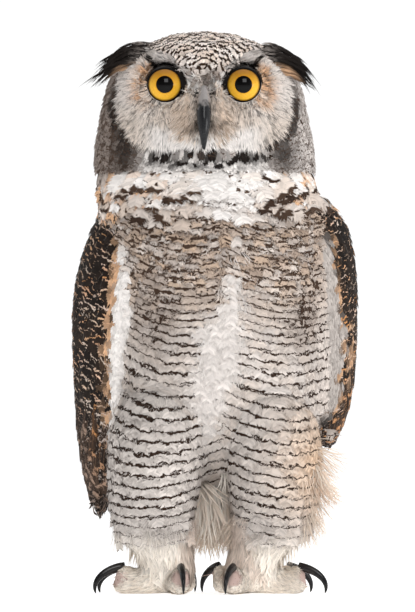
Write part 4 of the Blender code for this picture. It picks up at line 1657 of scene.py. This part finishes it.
def look_tuft(places):
    x, _, high = from_eye(places)
    x = np.abs(x)
    under = 1 - ramp(high - np.interp(x, [45, 70, 95], [26, 20, -4]), -9, -3)
    warm = under * (1 - ramp(x, 70, 84))
    root = 1 - ramp(x, 46, 66)
    ground = mixed(TONE["black"], TONE["rust"], 0.8 * warm)
    patch = ramp(lump(1.0, places, 4 * MM, 41), 0.5, 0.6)
    ground = mixed(ground, TONE["grey"], root * patch)
    return look(
        ground,
        TONE["pale"],
        blotch=0.6 * np.maximum(warm, root),
        fleck=0.15 + 0.5 * root,
        streak=0,
    )


def tail_quills(front):
    """Lines of the tail feathers, fanned a little, over the back or the front of the tail."""
    low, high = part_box("tail")
    heights = np.linspace(high.z - 0.03 * (high.z - low.z), low.z + 0.4 * MM, 16)
    edges = [section("tail", height) for height in heights]
    middle = (low.x + high.x) / 2
    half = np.array([(far[0] - near[0]) / 2 for near, far in edges])
    face = np.array([near[1] if front else far[1] for near, far in edges])
    facing = -1 if front else 1
    quills = []
    for i in range(6):
        for hand in (-1, 1):
            off = (i + 0.5) / 6 * 0.86
            x = middle + hand * half * off
            depth = face + facing * (0.9 - 0.22 * i) * MM - facing * (off**2) * half * 0.12
            line = np.column_stack([x, depth, heights])[: 16 if i < 4 else 15]
            outs = np.tile(unit(np.array([0.25 * hand * off, facing, 0.15])), (len(line), 1))
            quills.append((line, outs, 19 * MM))
    return quills[::-1]


def wing_quills(side, count=13):
    """Lines of the flight feathers, from across the lower wing down to its point."""
    points = points_of(frame["nodes"]["wing_" + side].data)
    tip = points[np.argmin(points[:, 2])]
    hand = HAND[side]
    high = 105 * MM if side == "left" else 120 * MM
    quills = []
    for i in range(count):
        share = i / (count - 1)
        start = (0.13 * hand, (-30 + 100 * share) * MM, tip[2] + high + 12 * MM * share)
        goal = tip + np.array((0, (share - 0.45) * 26 * MM, 2 * MM + 16 * MM * abs(share - 0.3)))
        root = np.array(skin_tree.find_nearest(start)[0])
        length = np.linalg.norm(goal - root) * 0.98
        line, outs = over_skin(root, goal, length, 2.5 * MM)
        quills.append((line, outs, 15 * MM))
    return quills


def look_tail(places):
    ground = mixed(TONE["buff"], TONE["grey"], lump(0.8, places, 20 * MM, 21))
    return look(ground, TONE["brown"], bars=0.9, blotch=0.15, fleck=0.6, edge=0.2, streak=0.3)


def spot_of(place):
    """The place on the skin's bake map nearest to a point."""
    face = skin_tree.find_nearest(Vector(place))[2]
    loops = skin.data.polygons[face].loop_indices
    return np.mean([skin_uv[i] for i in loops], axis=0)


def over_skin(start, goal, length, rise, steps=14):
    """A line from start towards goal over the skin, of this length, rising off it to its tip."""
    place, line, outs = Vector(start), [], []
    goal = Vector(goal)
    for i in range(steps):
        spot, out, _, _ = skin_tree.find_nearest(place)
        line.append(np.array(spot + out * (0.8 * MM + rise * i / (steps - 1))))
        outs.append(np.array(out))
        ahead = goal - spot
        ahead = ahead - out * ahead.dot(out)
        place = spot + ahead.normalized() * min(length / (steps - 1), ahead.length)
    return np.array(line), unit(np.array(outs))


# ---------------------------------------------------------------- making the bird

trees = {"roots": roots_tree(), "plumage": plumage_tree()}
feather = feather_material("contour_feather", roughness=0.78)
eye_glass = eye_material("owl_eye")
bill_horn = horn_material("bill_horn", tip="#101114", root="#8B8684", rough=0.27)
claw_horn = horn_material("claw_horn", tip="#0C0B0D", root="#1E1B1A", rough=0.2)

skin, tract = make_skin()
tract = add_lids(skin, tract)
unwrap(skin)
paint_skin(skin, tract)
skin.data.materials.append(feather)
skin.data.materials.append(lid_skin_material("lid_rim"))
lid_faces = (read(skin.data, "tract") < 0).astype(np.int32)
skin.data.polygons.foreach_set("material_index", lid_faces)
skin_tree = bvh_of(skin.data)
skin_uv = np.empty(len(skin.data.loops) * 2, np.float32)
skin.data.uv_layers["OFBake"].data.foreach_get("uv", skin_uv)
skin_uv = skin_uv.reshape(-1, 2)
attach(skin, "root")
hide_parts(*FLESH)

body_vane = shape_set("body_vane", vane, barbs=13, rake=0.26, cuts=2)
small_vane = shape_set("small_vane", vane, barbs=5, rake=0.34, cuts=2)
filament = shape_set("filament", tuft, threads=4, spread=0.20, width=0.075)
down = shape_set("down", tuft, threads=4, spread=0.28, width=0.16)
wisp = shape_set("wisp", tuft, threads=8, spread=0.5, width=0.045, wave=0.16, cuts=3)
thin_wisp = shape_set("thin_wisp", tuft, threads=9, spread=0.5, width=0.024, wave=0.2, cuts=3)


def off_the_face_parts(places):
    """Leaves out the eyes with their lids, and the bill."""
    x, apart, high = from_eye(places)
    z = places[:, 2] / MM
    bill = (np.abs(x) < 4.5) & (z > 372) & (z < 402)
    brow = (high - brow_edge(apart) > 0.5) & (apart > -26) & (apart < 12)
    return (np.hypot(apart, high) > rim_reach(apart, high)) & ~bill & ~brow


def body_length(places):
    z = places[:, 2] / MM
    return np.interp(z, [60, 120, 230, 300, 350], [20, 27, 26, 23, 18])


def body_width(places):
    return body_length(places) * 0.62


set_feathers(
    "face_disc", "plumage_head", "face", spacing=1.35, shapes=filament, length=9.5, width=9.0,
    keep=off_the_face_parts, jitter=0.16, dusky=dusky_face,
)


def beside_the_bill(places):
    x, _, z = places.T / MM
    x = np.abs(x - HEAD_X / MM)
    return (x < 19) & (x > np.interp(z, [402, 412], [3.5, 0])) & (z > 374) & (z < 420)


def whisker_lie(places):
    """Bristles sweep forward over the cere, then out and down beside the mouth."""
    x, _, z = places.T / MM
    x = x - HEAD_X / MM
    low = ramp(-z, -412, -396)
    return towards(x * (0.1 + 0.75 * low), -7, -12)


def look_whisker(places):
    x, _, z = places.T / MM
    x = np.abs(x - HEAD_X / MM)
    arch = bump(np.hypot(x, z - 409) - 7.4, 2.0) * ramp(z, 401, 405)
    # painted shade in the nostrils: dark spots on the bristles where the openings lie
    nostril_shade = bump(x - 6.9, 2.0) * bump(z - 402, 4)
    ends = bump(z - 378, 4) * bump(x - 12, 8)
    ground = mixed(TONE["face"], TONE["buff"], 0.5 * ramp(x, 6, 16))
    ground = mixed(ground, TONE["brown"], 0.6 * ends)
    ground = mixed(ground, TONE["black"], np.clip(arch + nostril_shade, 0, 1))
    return look(ground, TONE["brown"], blotch=0.3, fleck=0.6, edge=0, streak=0)


def whisker_length(places):
    return np.interp(places[:, 2] / MM, [385, 402, 415], [14, 12, 7])


set_feathers(
    "whiskers", "plumage_head", "face", spacing=1.5, shapes=filament, length=whisker_length,
    width=11, keep=beside_the_bill, lie=whisker_lie, stand=0.2, jitter=0.14, hold=0.5,
    paint=look_whisker, dusky=0.32, vary=0.2,
)


def under_the_brow(places):
    _, apart, high = from_eye(places)
    over = high - brow_edge(apart)
    clear = np.hypot(apart, high) > rim_reach(apart, high) - 0.5
    return (over > -3.2) & (over < 0.8) & (apart > -20) & (apart < 12) & clear


# painted shadow under the brow: all-black filaments along its lower edge
def look_painted_brow_shadow(places):
    return look(np.tile(TONE["black"], (len(places), 1)), TONE["black"], edge=0, streak=0)


def on_the_brow(places):
    """The roots of the white brows, in a band over each eye from the bill to the ear tufts."""
    _, apart, high = from_eye(places)
    over = high - brow_edge(apart)
    return (over > 0.2) & (apart > -23) & (apart < 16)


def brow_lie(places):
    side = np.sign(places[:, 0] - HEAD_X)
    return towards(side, -0.1, 0.62)


def look_brow(places):
    _, apart, high = from_eye(places)
    low = 1 - ramp(high - brow_edge(apart), -0.5, 1.5)
    outer = ramp(apart, 6, 18)
    ground = mixed(TONE["pale"], TONE["grey"], lump(0.6, places, 9 * MM, 40) + 0.4 * outer)
    # painted shadow: the brow's lowest feathers are blackened along its lower edge
    ground = mixed(ground, TONE["black"], low)
    return look(ground, TONE["brown"], blotch=0.1, fleck=0.3, edge=0, streak=0)


# black filaments along the brow's lower edge stand in for the shadow that the brow casts over the eye
set_feathers(
    "brow_line", "plumage_head", "face", spacing=1.0, shapes=filament, length=6, width=4,
    keep=under_the_brow, lie=brow_lie, lift=1.4, stand=0.12, jitter=0.1, paint=look_painted_brow_shadow,
)
set_feathers(
    "brows", "plumage_head", "face", spacing=1.15, shapes=filament, length=8, width=6,
    keep=on_the_brow, lie=brow_lie, stand=0.2, jitter=0.16, paint=look_brow, dusky=0.16,
    soft=0.8,
)
set_feathers(
    "crown_and_cheeks", "plumage_head", "crown", spacing=2.6, shapes=small_vane,
    length=lambda p: np.interp(p[:, 2] / MM, [340, 400, 440], [13, 10, 7]),
    width=lambda p: np.interp(p[:, 2] / MM, [340, 400, 440], [7.5, 6, 4.4]), own_bars=1.8,
)
set_feathers(
    "neck_ring", "plumage_neck", "neck", spacing=4.6, shapes=body_vane, length=20, width=13,
)


def beside_the_neck(places):
    x, y, z = places.T / MM
    return (np.abs(x) > 66) & (z < 352) & (y < 35) & (y > -60)


def neck_side_lie(places):
    return towards(0.35 * np.sign(places[:, 0]), -0.1, -1)


set_feathers(
    "neck_sides", "plumage_neck", "neck", spacing=5.6, shapes=body_vane, length=30, width=17,
    keep=beside_the_neck, lie=neck_side_lie, stand=0.26, lift=1.3, jitter=0.25, hold=0.4,
)
set_feathers(
    "breast_and_belly", "plumage_trunk", "front", spacing=4.3, shapes=body_vane,
    length=body_length, width=body_width, soft=0.78, vary=0.06,
)


def on_the_parting(places):
    return white_strip(places) > 0.4


def look_parting(places):
    ground = mixed(TONE["white"], TONE["pale"], lump(0.9, places, 14 * MM, 45))
    return look(ground, TONE["brown"], fleck=0.05, edge=0, streak=0)


def ahead_only(places):
    """The front of the bird, where the loose ends of the feathers show."""
    _, y, z = places.T / MM
    return (y < 5) & (z < 305) & (white_strip(places) < 0.5)


set_feathers(
    "parting_down", "plumage_trunk", "front", spacing=3.4, shapes=thin_wisp, length=22,
    width=17, lift=1.15, keep=on_the_parting, paint=look_parting, jitter=0.25, soft=0.9,
    vary=0.04,
)
for base in ("front", "thigh"):
    set_feathers(
        "fringe_" + base, "plumage_trunk" if base == "front" else "plumage_leg", base,
        spacing=5.2, shapes=thin_wisp, length=17, width=17, lift=1.12, keep=ahead_only,
        jitter=0.2, soft=0.8,
    )


def on_the_bib(places):
    x, y, z = places.T / MM
    middle = 0.004 * (x - 6) ** 2
    high = np.minimum(352, 338 + 0.8 * (84 - np.abs(x)))
    return (y < 0) & (z > 312 + 0.6 * middle) & (z < high) & (x > -94) & (x < 78)


for base in ("neck", "front"):
    set_feathers(
        "bib_" + base, "plumage_neck", base, spacing=8.0, shapes=body_vane, length=25, width=19,
        keep=on_the_bib, lift=1.35, jitter=0.3, stand=0.08, paint=look_bib, soft=0.8, vary=0.04,
    )
set_feathers(
    "back_mantle", "plumage_trunk", "back", spacing=7.0, shapes=body_vane, length=30, width=20,
    own_bars=2.5,
)
set_feathers(
    "thighs", "plumage_leg", "thigh", spacing=4.6, shapes=body_vane, length=body_length,
    width=body_width,
)


def low_on_the_thigh(places):
    return places[:, 2] < 74 * MM


def skirt_lie(places):
    x = places[:, 0] / MM
    inwards = np.where(x < 4, 0.22, -0.22) * ramp(np.abs(x - 4), 45, 70)
    return towards(inwards, -0.02, -1)


def off_the_pads(places):
    return toe_end(places) < 0.5


set_feathers(
    "thigh_skirt", "plumage_leg", "thigh", spacing=4.2, shapes=body_vane, length=22, width=14,
    hang=True, hold=0, keep=low_on_the_thigh, lie=skirt_lie, jitter=0.2,
)
set_feathers(
    "skirt_fringe", "plumage_leg", "thigh", spacing=4.0, shapes=thin_wisp, length=30, width=22,
    hang=True, hold=0, keep=low_on_the_thigh, lie=skirt_lie, jitter=0.25, soft=0.85, lift=1.1,
)
set_feathers(
    "shank_down", "plumage_leg", "shank", spacing=2.8, shapes=down, length=17, width=13,
    stand=0.38, jitter=0.25,
)
set_feathers(
    "foot_down", "plumage_foot", "foot", spacing=1.7, shapes=down,
    length=lambda p: np.interp(np.abs(p[:, 0] - BODY_X) / MM, [50, 66], [9.5, 13]), width=8.0,
    stand=0.55, jitter=0.35, keep=off_the_pads, soft=0.85, vary=0.05,
)
set_feathers(
    "vent_down", "plumage_trunk", "vent", spacing=3.0, shapes=wisp, length=60, width=34,
    hang=True, hold=0, jitter=0.25, soft=0.85, vary=0.06,
)


def between_the_legs(places):
    x, y, z = places.T / MM
    return (np.abs(x - 2) < 5 + 0.34 * (108 - z)) & (z > 50) & (y < 20)


def hanging_in(places):
    return towards(-0.25 * (places[:, 0] / MM - 4) / 25, -0.05, -1)


set_feathers(
    "inner_leg_fluff", "plumage_leg", "thigh", spacing=3.4, shapes=wisp, length=34, width=24,
    jitter=0.25, keep=between_the_legs, lie=hanging_in, hang=True, hold=0, paint=look_vent,
    soft=0.85, vary=0.06,
)


def on_the_lining(places):
    strip, border, _ = lining_at(places)
    return np.maximum(strip, border) > 0.35


def off_the_lining(places):
    """The wing's scaled coverts: not on its pale inner strip nor at its point."""
    point = np.where(places[:, 0] < 0, 82 * MM, 134 * MM)
    return ~on_the_lining(places) & (places[:, 2] > point)


set_feathers(
    "wing_coverts", "plumage_wing", "wing", spacing=4.4, shapes=small_vane,
    length=lambda p: np.interp(p[:, 2] / MM, [60, 170, 320], [30, 18, 13]),
    width=lambda p: np.interp(p[:, 2] / MM, [60, 170, 320], [11, 11, 8.5]), keep=off_the_lining,
    own_bars=2.0, jitter=0.2,
)
long_vane = shape_set("long_vane", vane, barbs=34, rake=0.10, fray=0.03, pointed=0.15, cuts=2)


def low_on_the_wing(places):
    x, y, z = places.T / MM
    right = x < 0
    clear = right | ((z > 128) & (y < 25))
    return off_the_lining(places) & (z < np.where(right, 178, 205)) & clear


def primary_length(places):
    """Flight feathers are longer the higher they start over the wing's point, which is raised
    on the left wing."""
    raised = np.where(places[:, 0] < 0, 0, 56)
    return np.interp(places[:, 2] / MM - raised, [76, 110, 150, 190], [16, 38, 54, 66])


set_feathers(
    "wing_primaries", "plumage_wing", "wing", spacing=7.5, shapes=long_vane,
    length=primary_length, width=10, keep=low_on_the_wing, paint=look_flight, own_bars=2.5,
    lift=1.5, jitter=0.08,
)
set_feathers(
    "wing_lining", "plumage_wing", "wing", spacing=3.0, shapes=small_vane, length=15, width=6.5,
    keep=on_the_lining, jitter=0.06, lie=lie_body,
)


def at_the_hip(places):
    """The wispy buff flank feathers that show behind the bird's left thigh."""
    x, y, z = places.T / MM
    return (x > 71) & (z > 66) & (z < 122) & (y < 30)


def hip_lie(places):
    out = 0.35 + 0.6 * ramp(places[:, 2] / MM, 70, 130)
    return towards(out, -0.05, -0.9)


def look_hip(places):
    ground = mixed(TONE["hip"], TONE["cream"], lump(0.9, places, 16 * MM, 17))
    return look(ground, TONE["brown"], bars=0.12, fleck=0.1, edge=0.1, streak=0)


set_feathers(
    "hip_fluff", "plumage_leg", "thigh", spacing=6.0, shapes=thin_wisp, length=38, width=30,
    jitter=0.28, keep=at_the_hip, lie=hip_lie, hang=True, hold=0, paint=look_hip, soft=0.85,
)

ear_vane = shape_set("ear_vane", vane, barbs=13, rake=0.34, fray=0.16, pointed=0.55, cuts=3)
for side in ("right", "left"):
    tuft_piece = lay_long(
        "ear_tuft_feathers_" + side, ear_quills(side), look_tuft, ear_vane
    )
    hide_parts("ear_tuft_" + side)
tail_piece = lay_long(
    "tail_feathers", tail_quills(True) + tail_quills(False), look_tail, long_vane
)
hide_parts("tail")

for side in ("right", "left"):
    lay_long("flight_feathers_" + side, wing_quills(side), look_flight, long_vane)

for side in ("right", "left"):
    eyeball(side)
make_bill()
for toe, side in TOES:
    make_claw(toe, side)

# ---------------------------------------------------------------- studio


def area_light(name, place, target, size, power):
    data = bpy.data.lights.new(name, "AREA")
    data.shape = "RECTANGLE"
    data.size, data.size_y = size
    data.energy = power
    lamp = link(name, data)
    lamp.location = place
    lamp.rotation_euler = (Vector(target) - Vector(place)).to_track_quat("-Z", "Y").to_euler()


def make_floor():
    """A pale paper floor, bright enough to run into the background."""
    corners = [(-9, -9, 0), (9, -9, 0), (9, 9, 0), (-9, 9, 0)]
    floor = link("floor", mesh_of("floor", corners, [(0, 1, 2, 3)]))
    paper, _, shader = new_material("white_paper_floor")
    shader.inputs["Base Color"].default_value = solid("#F7F7F7")
    shader.inputs["Roughness"].default_value = 0.9
    shader.inputs["Emission Color"].default_value = (1, 1, 1, 1)
    shader.inputs["Emission Strength"].default_value = 0.55
    floor.data.materials.append(paper)


def make_walls():
    """The light of the studio's white walls: brightest behind the bird, and dim in front."""
    world = bpy.data.worlds.new("studio")
    bpy.context.scene.world = world
    world.use_nodes = True
    tree = world.node_tree
    x, y, z = add(tree, PARTS, add(tree, "ShaderNodeTexCoord").outputs["Generated"]).outputs
    behind = add(tree, RANGE, y, -0.35, 0.7, **SMOOTH)
    right = add(tree, RANGE, x, -0.9, 0.9, 0.1, 0.32, **SMOOTH)
    side = add(tree, RANGE, add(tree, MATH, x, operation="ABSOLUTE"), 0.5, 0.95, **SMOOTH)
    front = add(tree, MATH, side, 0.35, right, operation="MULTIPLY_ADD")
    low = add(tree, RANGE, z, 0.05, 0.55, 0.5, 0.0, **SMOOTH)
    aside = add(tree, MATH, side, 0.7, 0.3, operation="MULTIPLY_ADD")
    front = add(tree, MATH, low, aside, front, operation="MULTIPLY_ADD")
    more = add(tree, MATH, 1.06, front, operation="SUBTRACT")
    power = add(tree, MATH, behind, more, front, operation="MULTIPLY_ADD")
    tree.links.new(main_output(power), tree.nodes["Background"].inputs["Strength"])
    tree.nodes["Background"].inputs["Color"].default_value = (1, 1, 1, 1)


def make_camera():
    """A long lens far off, level with the middle of the bird."""
    camera = bpy.data.cameras.new("camera")
    camera.sensor_width, camera.lens = 36, 899
    seen_from = link("camera", camera)
    seen_from.location = (-0.00575, -12.5, 0.2349)
    seen_from.rotation_euler = (math.radians(90), 0, 0)
    bpy.context.scene.camera = seen_from
    bpy.context.scene.view_settings.view_transform = "Standard"


make_floor()
make_walls()
chest = (HEAD_X, 0, 0.26)
area_light("softbox", (0.26, -1.80, 1.30), chest, (0.82, 0.78), power=18)
area_light("low_right", (2.2, -1.1, 0.3), (0, 0, 0.12), (1.0, 0.6), power=14)
area_light("overhead", (0.1, -0.2, 2.3), chest, (1.6, 1.6), power=9)
make_camera()
